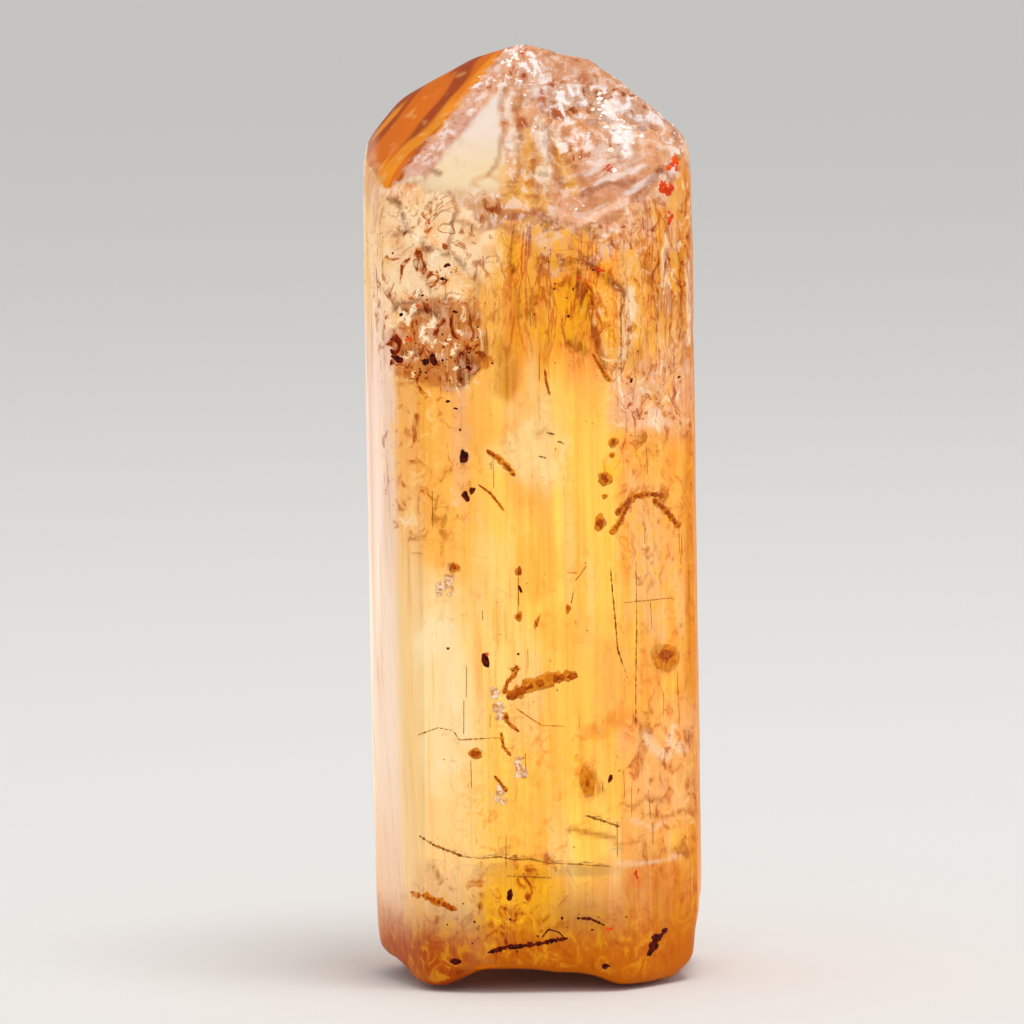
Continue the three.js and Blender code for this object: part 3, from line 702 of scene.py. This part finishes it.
class Flaws:
    """One piece made of many small closed shapes."""

    def __init__(self, name, seed):
        self.name = name
        self.rng = np.random.default_rng(seed)
        self.points, self.faces = [], []

    def extend(self, points, faces):
        start = len(self.points)
        self.points += [tuple(point) for point in points]
        self.faces += [tuple(start + i for i in face) for face in faces]

    def lump(self, across, up, width, height, thick=0.03, rough=0.35, turn=None, fineness=3):
        """A rough, flat lump in the skin about its place; half sizes in millimetres."""
        ball = bmesh.new()
        bmesh.ops.create_icosphere(ball, subdivisions=fineness, radius=1)
        shape = np.array([vert.co for vert in ball.verts])
        faces = [[vert.index for vert in face.verts] for face in ball.faces]
        ball.free()
        seed = int(self.rng.integers(1e6))
        bumps = cell_noise(shape, (0.9,) * 3, seed) + 0.4 * cell_noise(shape, (0.4,) * 3, seed + 1)
        shape *= 1 + rough * bumps[:, None]
        turn = self.rng.uniform(-0.5, 0.5) if turn is None else turn
        x, y, z = shape.T * np.array((width, thick, height))[:, None]
        beside, above = x * math.cos(turn) + z * math.sin(turn), z * math.cos(turn) - x * math.sin(turn)
        self.extend(map(inside, across + beside, up + above, y), faces)

    def tube(self, path, radius, knobs=0.25, sides=8, thick=0.035):
        """A knobbly, flattened rod along a path in the skin, tapering to its ends; sizes in millimetres."""
        path = np.array(path)
        lengths = np.concatenate([[0], np.cumsum(np.linalg.norm(np.diff(path, axis=0), axis=1))])
        count = int(np.clip(lengths[-1] / radius / 0.7, 8, 60))
        where = np.linspace(0, lengths[-1], count)
        spine = np.column_stack([np.interp(where, lengths, path[:, axis]) for axis in range(2)])
        spine += self.rng.normal(0, 0.12 * radius, spine.shape)
        along = np.gradient(spine, axis=0)
        beside = along[:, ::-1] * (1, -1) / np.linalg.norm(along, axis=1)[:, None]
        taper = np.minimum(1, 0.5 + 7 * np.minimum(where, lengths[-1] - where) / lengths[-1])
        girth = taper * (1 + self.rng.uniform(-knobs, knobs, count))
        angles = np.linspace(0, 2 * math.pi, sides, endpoint=False)
        reach = radius * girth[:, None] * np.cos(angles)
        places = spine[:, None] + reach[:, :, None] * beside[:, None]
        depths = thick * girth[:, None] * np.sin(angles)
        faces = [list(range(sides))[::-1], [(count - 1) * sides + k for k in range(sides)]]
        for i in range(count - 1):
            for k in range(sides):
                j = (k + 1) % sides
                faces.append((i * sides + k, i * sides + j, (i + 1) * sides + j, (i + 1) * sides + k))
        self.extend(map(inside, *places.reshape(-1, 2).T, depths.ravel()), faces)

    def flake(self, centre, radius, normal, thick=0.012, corners=9):
        """A thin, ragged disc; sizes in millimetres."""
        normal = Vector(normal).normalized()
        side = normal.orthogonal().normalized()
        up = normal.cross(side)
        reach = radius * MM * self.rng.uniform(0.45, 1, corners)
        angles = np.linspace(0, 2 * math.pi, corners, endpoint=False) + self.rng.uniform(0, 6)
        rim = [Vector(centre) + side * r * math.cos(a) + up * r * math.sin(a) for a, r in zip(angles, reach)]
        lift = normal * thick * MM / 2
        top = [point + lift for point in rim]
        bottom = [point - lift for point in rim]
        faces = [list(range(corners)), list(range(corners, 2 * corners))[::-1]]
        faces += [(k, k + corners, (k + 1) % corners + corners, (k + 1) % corners) for k in range(corners)]
        self.extend(top + bottom, faces)

    def finish(self, material):
        mesh = bpy.data.meshes.new(self.name)
        mesh.from_pydata(self.points, [], self.faces)
        mesh.polygons.foreach_set("use_smooth", [len(face) < 5 for face in self.faces])
        dress(self.name, mesh, material)


def iron_grains():
    """Dark grains of iron oxide: places with half sizes, clots along paths, and scattered bits."""
    grains = Flaws("iron_oxide_grains", 41)
    rng = grains.rng
    for across, up, width, height in (
        (-2.84, 22.39, 0.22, 0.3),
        (-2.82, 20.79, 0.17, 0.24),
        (-2.52, 20.99, 0.13, 0.16),
        (-2.09, 13.93, 0.2, 0.36),
        (2.69, 1.01, 0.2, 0.14),
        (-3.56, 1.24, 0.2, 0.14),
        (-1.23, 4.07, 0.16, 0.22),
        (3.03, 8.91, 0.09, 0.16),
        (-4.04, 26.42, 0.17, 0.24),
        (-4.38, 26.35, 0.12, 0.15),
        (-5.52, 26.41, 0.24, 0.13),
        (-5.75, 26.7, 0.1, 0.12),
        (-2.57, 26.1, 0.12, 0.14),
        (-5.36, 28.26, 0.1, 0.08),
        (-3.12, 28.4, 0.12, 0.08),
        (-3.39, 30.3, 0.2, 0.1),
        (-3.61, 29.75, 0.13, 0.06),
        (-3.15, 24.38, 0.13, 0.05),
        (-3.48, 24.68, 0.08, 0.06),
        (-2.99, 23.49, 0.06, 0.06),
        (6.16, 25.37, 0.08, 0.08),
        (4.14, 25.41, 0.07, 0.09),
        (-0.61, 16.85, 0.05, 0.2),
        (-3.64, 14.38, 0.06, 0.05),
        (-0.73, 14.16, 0.06, 0.05),
    ):
        grains.lump(across, up, width, height, rough=0.5)
    for radius, *path in (
        (0.1, (4.55, 1.4), (4.86, 1.82), (5.33, 2.32)),
        (0.22, (4.5, 1.3), (4.75, 1.7), (4.95, 2.1)),
        (0.1, (-2.2, 1.64), (-1.48, 1.88), (-0.84, 1.91), (0, 2.03), (0.64, 2.14), (1.15, 2.22)),
        (0.03, (0.05, 2.24), (0.35, 2.61), (0.77, 2.48), (1.02, 2.22)),
        (0.06, (1.54, 3.06), (2.13, 3.01), (2.68, 2.74)),
    ):
        grains.tube(path, radius, knobs=0.5)
    for middle_across, middle_up, spread_across, spread_up, count in (
        (-4.2, 26.8, 0.9, 0.6, 50),
        (-4.3, 30.2, 1.0, 1.6, 12),
        (5.0, 24.8, 1.0, 0.9, 8),
        (1.0, 29.6, 1.4, 1.0, 12),
        (-0.6, 2.6, 2.4, 0.6, 26),
    ):
        for _ in range(count):
            across = np.clip(rng.normal(middle_across, spread_across), -5.8, 6.2)
            up = rng.normal(middle_up, spread_up)
            size = rng.uniform(0.02, 0.07)
            grains.lump(across, up, size, size * rng.uniform(0.5, 1.3), 0.02, rough=0.6, fineness=2)
    return grains


def growth_tubes(name, share, thick):
    """Rusty tubes, each a radius and a path, and clots, each a place and half sizes, scaled by a share."""
    tubes = Flaws(name, 42)
    for radius, *path in (
        (0.13, (-1.91, 22.67), (-1.4, 22.3), (-1.0, 21.9), (-0.74, 21.56)),
        (0.06, (-2.27, 21.24), (-1.8, 20.9), (-1.4, 20.4), (-1.23, 20.13)),
        (0.06, (0.56, 25.97), (0.62, 25.4), (0.75, 24.91)),
        (0.09, (2.55, 26.6), (3.0, 25.8), (3.25, 25.42)),
        (0.26, (-1.23, 12.31), (-0.29, 12.8), (0.64, 13.08), (1.7, 13.24)),
        (0.2, (-0.95, 13.5), (-0.75, 13.6)),
        (0.1, (-0.8, 13.4), (-1.2, 13.0), (-1.35, 12.5)),
        (0.17, (-5.4, 3.97), (-4.83, 3.96), (-3.99, 3.65), (-3.48, 3.43)),
        (0.16, (3.4, 19.9), (4.14, 20.59), (5.0, 20.6), (5.65, 20.4)),
        (0.12, (4.14, 20.59), (3.6, 19.6), (3.19, 19.08)),
        (0.16, (5.0, 20.4), (5.5, 19.9), (6.1, 19.12)),
        (0.08, (-1.28, 11.6), (-1.2, 11.3), (-0.74, 10.9)),
        (0.08, (-1.5, 10.9), (-1.4, 10.3), (-1.1, 9.9)),
        (0.09, (-1.79, 9.07), (-1.54, 8.77), (-1.3, 8.4)),
    ):
        tubes.tube(path, share * radius, knobs=0.45, thick=thick)
    for across, up, width, height in (
        (3.38, 22.93, 0.17, 0.22),
        (3.02, 21.41, 0.32, 0.36),
        (2.73, 19.56, 0.24, 0.38),
        (3.29, 22.38, 0.12, 0.12),
        (2.96, 20.65, 0.1, 0.14),
        (-2.57, 10.01, 0.34, 0.28),
        (5.45, 13.7, 0.55, 0.5),
        (-0.63, 17.62, 0.14, 0.24),
        (-0.67, 15.72, 0.14, 0.18),
        (0.05, 15.42, 0.08, 0.3),
        (1.37, 16.03, 0.1, 0.18),
        (-3.38, 17.75, 0.24, 0.24),
        (-1.28, 11.51, 0.14, 0.18),
        (2.1, 8.7, 0.26, 0.6),
    ):
        tubes.lump(across, up, share * width, share * height, thick, rough=0.5)
    return tubes


def surface_specks():
    """Specks of rust, and scratches, hair cracks and crack mouths filled with it, in the front faces."""
    specks = Flaws("rust_specks", 47)
    rng = specks.rng
    for _ in range(SPECKS):
        specks.lump(rng.uniform(-4.6, 6.4), rng.uniform(3, 30), *rng.uniform(0.02, 0.05, 2), 0.02, fineness=1)
    for _ in range(SCRATCHES):
        across, up = rng.uniform(-4.4, 6.4), rng.uniform(5, 29)
        length, lean = rng.uniform(0.3, 1.6), rng.normal(0, 0.03)
        specks.tube([(across, up), (across + lean, up + length)], rng.uniform(0.008, 0.018), sides=5)
    mouths = [(radius, *path) for radius, _, *path in CLEAVAGE_CRACKS if radius]
    for radius, *path in (*HAIR_CRACKS, *mouths):
        specks.tube(path, radius, knobs=0.7, sides=6)
    return specks


def iron_stains():
    """Red-orange slivers and clots of iron stain in the skin, each a few small lumps."""
    stains = Flaws("red_iron_stains", 43)
    rng = stains.rng
    for across, up, width, height, turn in (
        (6.1, 34.3, 0.2, 0.4, 0.2),
        (5.83, 33.19, 0.26, 0.42, -0.2),
        (5.95, 32.05, 0.14, 0.24, 0),
        (4.02, 4.75, 0.12, 0.2, 0),
        (2.84, 2.57, 0.14, 0.08, 0),
        (3.35, 34.16, 0.3, 0.09, -0.5),
        (2.9, 30.07, 0.26, 0.08, 0.2),
        (2.01, 29.75, 0.06, 0.14, 0.2),
        (4.04, 24.39, 0.04, 0.2, 0.3),
        (6.64, 20.93, 0.05, 0.2, 0.2),
        (-4.68, 28.63, 0.09, 0.07, 0),
        (-4.16, 32.09, 0.08, 0.08, 0),
        (-2.57, 26.0, 0.13, 0.1, 0),
        (-2.05, 14.15, 0.08, 0.12, 0),
        (-5.05, 27.2, 0.1, 0.12, 0),
    ):
        for _ in range(6):
            along, beside = height * rng.normal(0, 0.5), width * rng.normal(0, 0.5)
            middle = across + beside + math.sin(turn) * along
            stains.lump(middle, up + along, 0.6 * width, 0.5 * height, 0.02, rough=0.4, turn=turn)
    return stains


def healed_cracks():
    """Pale blisters of healed cracks, in chains and pairs, and thin bright sheets of one open cleavage, their
    brightness a painted reflection.
    """
    veils = Flaws("healed_cracks", 44)
    rng = veils.rng
    for across, up, width, height in (
        (-1.73, 12.49, 0.14, 0.18),
        (-1.66, 11.94, 0.18, 0.16),
        (-1.5, 11.6, 0.14, 0.14),
        (-0.76, 9.52, 0.12, 0.34),
        (-0.6, 9.15, 0.12, 0.2),
        (-1.5, 8.3, 0.14, 0.34),
        (-3.69, 16.83, 0.28, 0.26),
        (-3.95, 16.95, 0.14, 0.16),
        (-3.5, 17.3, 0.14, 0.12),
    ):
        for _ in range(10):
            place = across + width * rng.normal(0, 0.6), up + height * rng.normal(0, 0.6)
            veils.lump(*place, *rng.uniform(0.07, 0.17, 2), 0.02, rough=0.5, fineness=2)
    # Thin pale sheets along one open cleavage: a painted reflection of the light that the crack's faces
    # reflect.
    for _ in range(26):
        place = inside(4.85 + 1.2 * rng.uniform(-1, 1), 5.22 + rng.normal(0, 0.05), rng.uniform(0.3, 2))
        veils.flake(place, rng.uniform(0.1, 0.35), (rng.normal(0, 0.1), rng.normal(0, 0.12), 1))
    return veils


def cleavage_cracks():
    """Stained cleavage cracks across the crystal near its base: ragged level sheets, seen almost edge on."""
    cracks = Flaws("stained_cleavage_cracks", 45)
    rng = cracks.rng
    for _, thickness, *path in CLEAVAGE_CRACKS:
        for (x0, z0), (x1, z1) in zip(path, path[1:]):
            for step in np.arange(0, 1, 0.14 / abs(x1 - x0)):
                place = inside(x0 + (x1 - x0) * step, z0 + (z1 - z0) * step, rng.uniform(0.3, 1.6))
                place = place + Vector((0, 0, rng.normal(0, 0.45 * thickness * MM)))
                cracks.flake(place, rng.uniform(0.08, 0.24), (rng.normal(0, 0.1), rng.normal(0, 0.1), 1))
    return cracks


def crumbled_zone():
    """Angular bits of topaz crushed between the cracks of the base, each catching the light its own way."""
    bits = Flaws("crumbled_topaz", 46)
    rng = bits.rng
    for _ in range(CRUMBLED_BITS):
        across, up = rng.normal(-1.4, 0.95), rng.normal(4.1, 0.9)
        if not (-3.4 < across < 1.2 and 2.2 < up < 6.2):
            continue
        normal = (rng.normal(0, 0.7), -1, rng.normal(0.2, 0.8))
        bits.flake(inside(across, up, rng.uniform(0.3, 1.5)), rng.uniform(0.15, 0.4), normal, 0.05, 5)
    return bits


def etched_crust_and_glints():
    """Frosted scales that etching left standing on the front slope, with clusters of bigger ones painted
    where it glints.
    """
    outward = Vector(facing(*FRONT_SLOPE[:2]))
    crust = Flaws("etched_crust_and_glints", 51)
    rng = crust.rng

    def scale_at(across, back, radius, lean):
        start = Vector((across * MM, back * MM, HIGH[2] + 10 * MM))
        hit, normal, _, _ = SURFACE.ray_cast(start, Vector((0, 0, -1)))
        if hit is None or normal.dot(outward) < 0.8:
            return
        tilted = outward + Vector(rng.normal(0, lean, 3))
        crust.flake(hit + outward * 0.01 * MM, radius, tilted, thick=0.03, corners=int(rng.integers(5, 9)))

    for _ in range(SMALL_SCALES):
        across, back = rng.uniform(-4.5, 6.8), rng.uniform(-5.6, 1.5)
        spot = np.array([[across, back, 0]]) * MM
        bare = cell_noise(spot, (1.3 * MM,) * 3, 52)[0] > 0.2
        smooth_left = across < -0.9 + 0.1 * back
        if (bare and rng.random() < 0.7) or (smooth_left and rng.random() < 0.85):
            continue
        scale_at(across, back, rng.uniform(0.03, 0.09), 0.16)
    # Clusters of bigger white scales at the slope's glints: painted highlights.
    for across, back, reach, count in ((3.8, -2.1, 0.9, 26), (3.2, -1.3, 0.5, 14), (-0.7, 0.2, 0.35, 12)):
        for _ in range(count):
            place = across + rng.normal(0, reach / 2), back + rng.normal(0, reach / 2)
            scale_at(*place, rng.uniform(0.08, 0.2), 0.1)
    return crust


# Materials


def topaz():
    """Topaz as it grew: glassy gold that deepens to orange with depth, streaked along the prism."""
    material, tree = new_material("topaz_grown_and_etched")
    place = add(tree, "ShaderNodeTexCoord").outputs["Object"]
    own = add(tree, "ShaderNodeAttribute", attribute_name="tint").outputs["Color"]
    striated = add(tree, "ShaderNodeAttribute", attribute_name="striated").outputs["Fac"]
    rough = add(tree, "ShaderNodeAttribute", attribute_name="rough").outputs["Fac"]
    # The finest striations are too fine to show, so the streaks are drawn 0.16 mm wide.
    across, along = 1 / (0.16 * MM), 1 / (9 * MM)
    stretched = add(tree, "ShaderNodeVectorMath", [(0, place)], operation="MULTIPLY")
    stretched.inputs[1].default_value = (across, across, along)
    streaks = add(tree, "ShaderNodeTexNoise", [("Vector", stretched.outputs[0])], Scale=1, Detail=2)
    spread = {"From Min": 0.4, "From Max": 0.68, "To Max": 0.8}
    streaks = add(tree, "ShaderNodeMapRange", [("Value", streaks.outputs["Fac"])], **spread)
    share = add(tree, "ShaderNodeMath", [(0, streaks.outputs[0]), (1, striated)], operation="MULTIPLY")
    darker = (*linear("#ffc66a"), 1)
    colour = add(
        tree,
        "ShaderNodeMixRGB",
        [("Fac", share.outputs[0]), ("Color1", own)],
        blend_type="MULTIPLY",
        Color2=darker,
    )
    roughness = add(tree, "ShaderNodeMapRange", [("Value", rough)], **{"To Min": 0.04, "To Max": 0.32})
    surface = add(
        tree,
        "ShaderNodeBsdfPrincipled",
        [("Roughness", roughness.outputs["Result"]), ("Base Color", colour.outputs[0])],
        **{"IOR": TOPAZ_IOR, "Transmission Weight": TOPAZ_CLEARNESS},
    )
    gold = (*linear(TOPAZ_GOLD), 1)
    volume = add(tree, "ShaderNodeVolumeAbsorption", Color=gold, Density=TOPAZ_DENSITY)
    add(tree, "ShaderNodeOutputMaterial", [("Surface", surface.outputs[0]), ("Volume", volume.outputs[0])])
    return material


def frost_and_painted_sheen():
    """Topaz dulled by growth, etching and wear: fine facets scatter the light, so it is pale and milky. Some
    of its pale marks are painted highlights and a painted reflection.
    """
    material, tree = new_material("topaz_frost_and_painted_sheen")
    place = add(tree, "ShaderNodeTexCoord").outputs["Object"]
    marks = {}
    for name in ("haze", *MARKS):
        marks[name] = add(tree, "ShaderNodeAttribute", attribute_name=name).outputs["Fac"]
    # Each pattern has its size across and along in millimetres, its detail, its distortion and its folds into
    # rings. The etched facets are too fine to show, so their crumbs are drawn several times as coarse.
    patterns = {}
    for name, across, along, detail, distortion, folds in (
        ("streaks", 0.17, 5, 2.5, 0.35, 0),
        ("mottle", 0.6, 0.75, 4, 0.9, 0),
        ("crumbs", 0.42, 0.85, 5, 0.5, 0),
        ("rings", 1.9, 1.9, 4, 1.2, 5),
        ("cracks", 0.75, 3.0, 4, 0.8, 4),
    ):
        stretched = add(tree, "ShaderNodeVectorMath", [(0, place)], operation="MULTIPLY")
        stretched.inputs[1].default_value = (1 / (across * MM), 1 / (across * MM), 1 / (along * MM))
        grain = {"Scale": 1, "Detail": detail, "Roughness": 0.62, "Distortion": distortion}
        pattern = add(tree, "ShaderNodeTexNoise", [("Vector", stretched.outputs[0])], **grain).outputs["Fac"]
        if folds:
            turns = add(tree, "ShaderNodeMath", [(0, pattern)], operation="MULTIPLY")
            turns.inputs[1].default_value = folds
            folded = add(tree, "ShaderNodeMath", [(0, turns.outputs[0])], operation="PINGPONG")
            folded.inputs[1].default_value = 0.5
            pattern = folded.outputs[0]
        patterns[name] = pattern
    colour = add(tree, "ShaderNodeAttribute", attribute_name="haze_and_sheen_tint").outputs["Color"]
    # Each layer has its pattern, the values where it starts and is full, its mark, its way and its colour.
    for name, low, high, mark, kind, hex_colour in (
        ("streaks", 0.46, 0.3, "flow", "MULTIPLY", "#dc9c48"),
        ("streaks", 0.56, 0.76, "flow", "MIX", "#ffe4a4"),
        ("mottle", 0.46, 0.4, "mottled", "MULTIPLY", "#d48c3c"),
        ("mottle", 0.4, 0.36, "mottled", "MULTIPLY", "#a85a28"),
        ("mottle", 0.56, 0.61, "mottled", "MIX", "#ffdcae"),
        # The palest, crisp flecks of the mottle: pale chips whose whiteness is partly a painted highlight.
        ("mottle", 0.63, 0.66, "mottled", "MIX", "#fff0d8"),
        ("crumbs", 0.52, 0.58, "crumbs", "MIX", "#f2e6e2"),
        ("crumbs", 0.46, 0.4, "crumbs", "MULTIPLY", "#e2b088"),
        ("crumbs", 0.4, 0.36, "crumbs", "MULTIPLY", "#c08040"),
        ("rings", 0.1, 0.0, "swirl", "MULTIPLY", "#a8683c"),
        ("mottle", 0.52, 0.64, "gilded", "MIX", "#fcb820"),
        ("mottle", 0.48, 0.38, "gilded", "MULTIPLY", "#d29238"),
        ("mottle", 0.38, 0.32, "gilded", "MULTIPLY", "#b06820"),
        ("cracks", 0.3, 0.5, "cracked", "MIX", "#f6ac20"),
        ("cracks", 0.2, 0.0, "cracked", "MULTIPLY", "#c27c24"),
    ):
        limits = {"From Min": low, "From Max": high}
        share = add(tree, "ShaderNodeMapRange", [("Value", patterns[name])], **limits)
        share = add(tree, "ShaderNodeMath", [(0, share.outputs[0]), (1, marks[mark])], operation="MULTIPLY")
        mixed = [("Fac", share.outputs[0]), ("Color1", colour)]
        second = (*linear(hex_colour), 1)
        colour = add(tree, "ShaderNodeMixRGB", mixed, blend_type=kind, Color2=second).outputs[0]
    finish = {"Roughness": 0.4, "IOR": 1.5, "Specular IOR Level": 0.06}
    links = [("Base Color", colour), ("Alpha", marks["haze"])]
    surface = add(tree, "ShaderNodeBsdfPrincipled", links, **finish)
    add(tree, "ShaderNodeOutputMaterial", [("Surface", surface.outputs[0])])
    return material


def stone(name, hex_colour, roughness, clear=0.0, ior=1.5, mottle=None, grain=0.25):
    """A mineral or a paper: its colour, and one that mottles it in grains of a size in millimetres."""
    material, tree = new_material(name)
    settings = {"Roughness": roughness, "Transmission Weight": clear, "IOR": ior, "Specular IOR Level": 0.08}
    links = []
    if mottle:
        place = add(tree, "ShaderNodeTexCoord").outputs["Object"]
        noise = add(tree, "ShaderNodeTexNoise", [("Vector", place)], Scale=1 / (grain * MM), Detail=2)
        spread = {"From Min": 0.4, "From Max": 0.6}
        share = add(tree, "ShaderNodeMapRange", [("Value", noise.outputs["Fac"])], **spread)
        colours = {"Color1": (*linear(hex_colour), 1), "Color2": (*linear(mottle), 1)}
        mixed = add(tree, "ShaderNodeMixRGB", [("Fac", share.outputs[0])], **colours)
        links = [("Base Color", mixed.outputs[0])]
    else:
        settings["Base Color"] = (*linear(hex_colour), 1)
    surface = add(tree, "ShaderNodeBsdfPrincipled", links, **settings)
    add(tree, "ShaderNodeOutputMaterial", [("Surface", surface.outputs[0])])
    return material


# Stage, light and camera


def make_floor():
    half, z = 4, -0.1 * MM
    corners = [(-half, -half, z), (half, -half, z), (half, half, z), (-half, half, z)]
    mesh = bpy.data.meshes.new("floor")
    mesh.from_pydata(corners, [], [(0, 1, 2, 3)])
    floor = bpy.data.objects.new("floor", mesh)
    bpy.context.collection.objects.link(floor)
    # Matt paper, plain and pale, with no gloss.
    mesh.materials.append(stone("pale_matt_paper", "#e9e7e4", 0.9))


def area_light(name, place, turn, size, radiance, lit=None):
    """A lit sheet of a size in metres, hidden from the camera; lit has the pieces it lights, if not all."""
    lamp = bpy.data.lights.new(name, "AREA")
    lamp.shape = "RECTANGLE"
    lamp.size, lamp.size_y = size
    lamp.energy = radiance * math.pi * size[0] * size[1]
    light = bpy.data.objects.new(name, lamp)
    light.location, light.rotation_euler = place, turn
    light.visible_camera = False
    light.light_linking.receiver_collection = lit
    bpy.context.collection.objects.link(light)


def softbox(name, azimuth, elevation, distance, size, radiance, lit=None):
    """A light that faces the crystal's middle from an azimuth (from -Y towards +X) and an elevation."""
    a, e = math.radians(azimuth), math.radians(elevation)
    way = Vector((math.sin(a) * math.cos(e), -math.cos(a) * math.cos(e), math.sin(e)))
    place = Vector((0, 0, HEIGHT / 2)) + way * distance
    area_light(name, place, way.to_track_quat("Z", "Y").to_euler(), size, radiance, lit)


def make_light():
    """Soft light from above for all, and lit sheets close round the crystal that shine through it alone."""
    world = bpy.data.worlds.new("studio")
    bpy.context.scene.world = world
    world.use_nodes = True
    world.node_tree.nodes["Background"].inputs["Color"].default_value = (*linear(STUDIO_GREY), 1)
    softbox("overhead", 40, 74, 0.45, (0.2, 0.2), 7)
    softbox("front", -20, 40, 0.5, (0.3, 0.3), 2.4, lit=TOPAZ_PIECES)
    softbox("sheet_behind", 196, 0, 0.033, (0.038, 0.039), 1.3, lit=TOPAZ_PIECES)
    softbox("sheet_left_behind", -133, -13, 0.036, (0.026, 0.023), 1.3, lit=TOPAZ_PIECES)
    softbox("sheet_right", 94, 0, 0.04, (0.03, 0.039), 0.8, lit=TOPAZ_PIECES)
    area_light("sheet_below", (0, 0.0195, 0.0001), (math.pi, 0, 0), (0.07, 0.026), 1.0, lit=TOPAZ_PIECES)
    bpy.context.scene.view_settings.view_transform = "Standard"


def make_camera():
    lens = bpy.data.cameras.new("camera")
    lens.sensor_width = SENSOR
    lens.lens = SENSOR * CAMERA_DISTANCE / PICTURE_WIDTH
    lens.clip_start, lens.clip_end = 20 * MM, 20
    camera = bpy.data.objects.new("camera", lens)
    back = Vector((0, -math.cos(CAMERA_ELEVATION), math.sin(CAMERA_ELEVATION)))
    turn = back.to_track_quat("Z", "Y").to_matrix() @ Matrix.Rotation(-CAMERA_ROLL, 3, "Z")
    camera.matrix_world = Matrix.Translation(PICTURE_MIDDLE + back * CAMERA_DISTANCE) @ turn.to_4x4()
    bpy.context.collection.objects.link(camera)
    bpy.context.scene.camera = camera


# The crystal and its flaws

TOPAZ_PIECES = bpy.data.collections.new("topaz_pieces")
skin = dress("topaz_skin", crystal_skin(), topaz())
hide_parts("topaz_crystal")
dress("frost_and_painted_sheen", frost_film(skin), frost_and_painted_sheen())
SURFACE = BVHTree.FromObject(skin, bpy.context.evaluated_depsgraph_get())

# Topaz tinted by the rust of a growth tube: a dull orange halo.
rust = growth_tubes("rusty_growth_tubes", 1, 0.03)
rust.finish(stone("rust_tinted_topaz", "#e08a1c", 0.5, mottle="#cc6c08", grain=0.2))
# Rust that fills the tube: darker and redder, so that the halo has a heart.
hearts = growth_tubes("growth_tube_hearts", 0.6, 0.045)
hearts.finish(stone("rust_stained_filling", "#c05a00", 0.5, mottle="#983a00", grain=0.16))
# Iron oxide grown in grains: matt and almost black, red-brown where it is thin.
iron_grains().finish(stone("iron_oxide_grain", "#641402", 0.7, mottle="#2c0400", grain=0.2))
# Iron stain seeped into small cracks: a flat red-orange that stands out from the gold.
iron_stains().finish(stone("red_iron_stain", "#ec4c0c", 0.5, mottle="#c4380c", grain=0.3))
# Rust settled in scratches: thin brown lines and dots.
surface_specks().finish(stone("rust_in_scratches", "#b87820", 0.6, mottle="#7c4410", grain=0.3))
# Blisters of a crack that grew shut: milky, because they scatter the light. The open cleavage's sheets take
# it too, as a painted reflection.
healed_cracks().finish(stone("healed_crack_blisters", "#fbdcb8", 0.3, mottle="#d88c48", grain=0.14))
# Topaz scales that etching left: frosted, and painted white as highlights, so that they glint.
etched_crust_and_glints().finish(stone("etched_scales_and_painted_glints", "#fff0e8", 0.3, mottle="#f2cdb4", grain=0.2))
# Stain along a cleavage crack: a dull dark line where the crack is seen edge on.
cleavage_cracks().finish(stone("stained_cleavage_crack", "#6a3408", 0.5, mottle="#9a5a14", grain=0.3))
# Topaz crushed to bits: clear, with bright broken faces.
crushed = {"clear": 0.9, "ior": 1.3, "mottle": "#f8c040", "grain": 0.6}
crumbled_zone().finish(stone("crumbled_topaz_bits", "#fff0b4", 0.1, **crushed))

make_floor()
make_light()
make_camera()
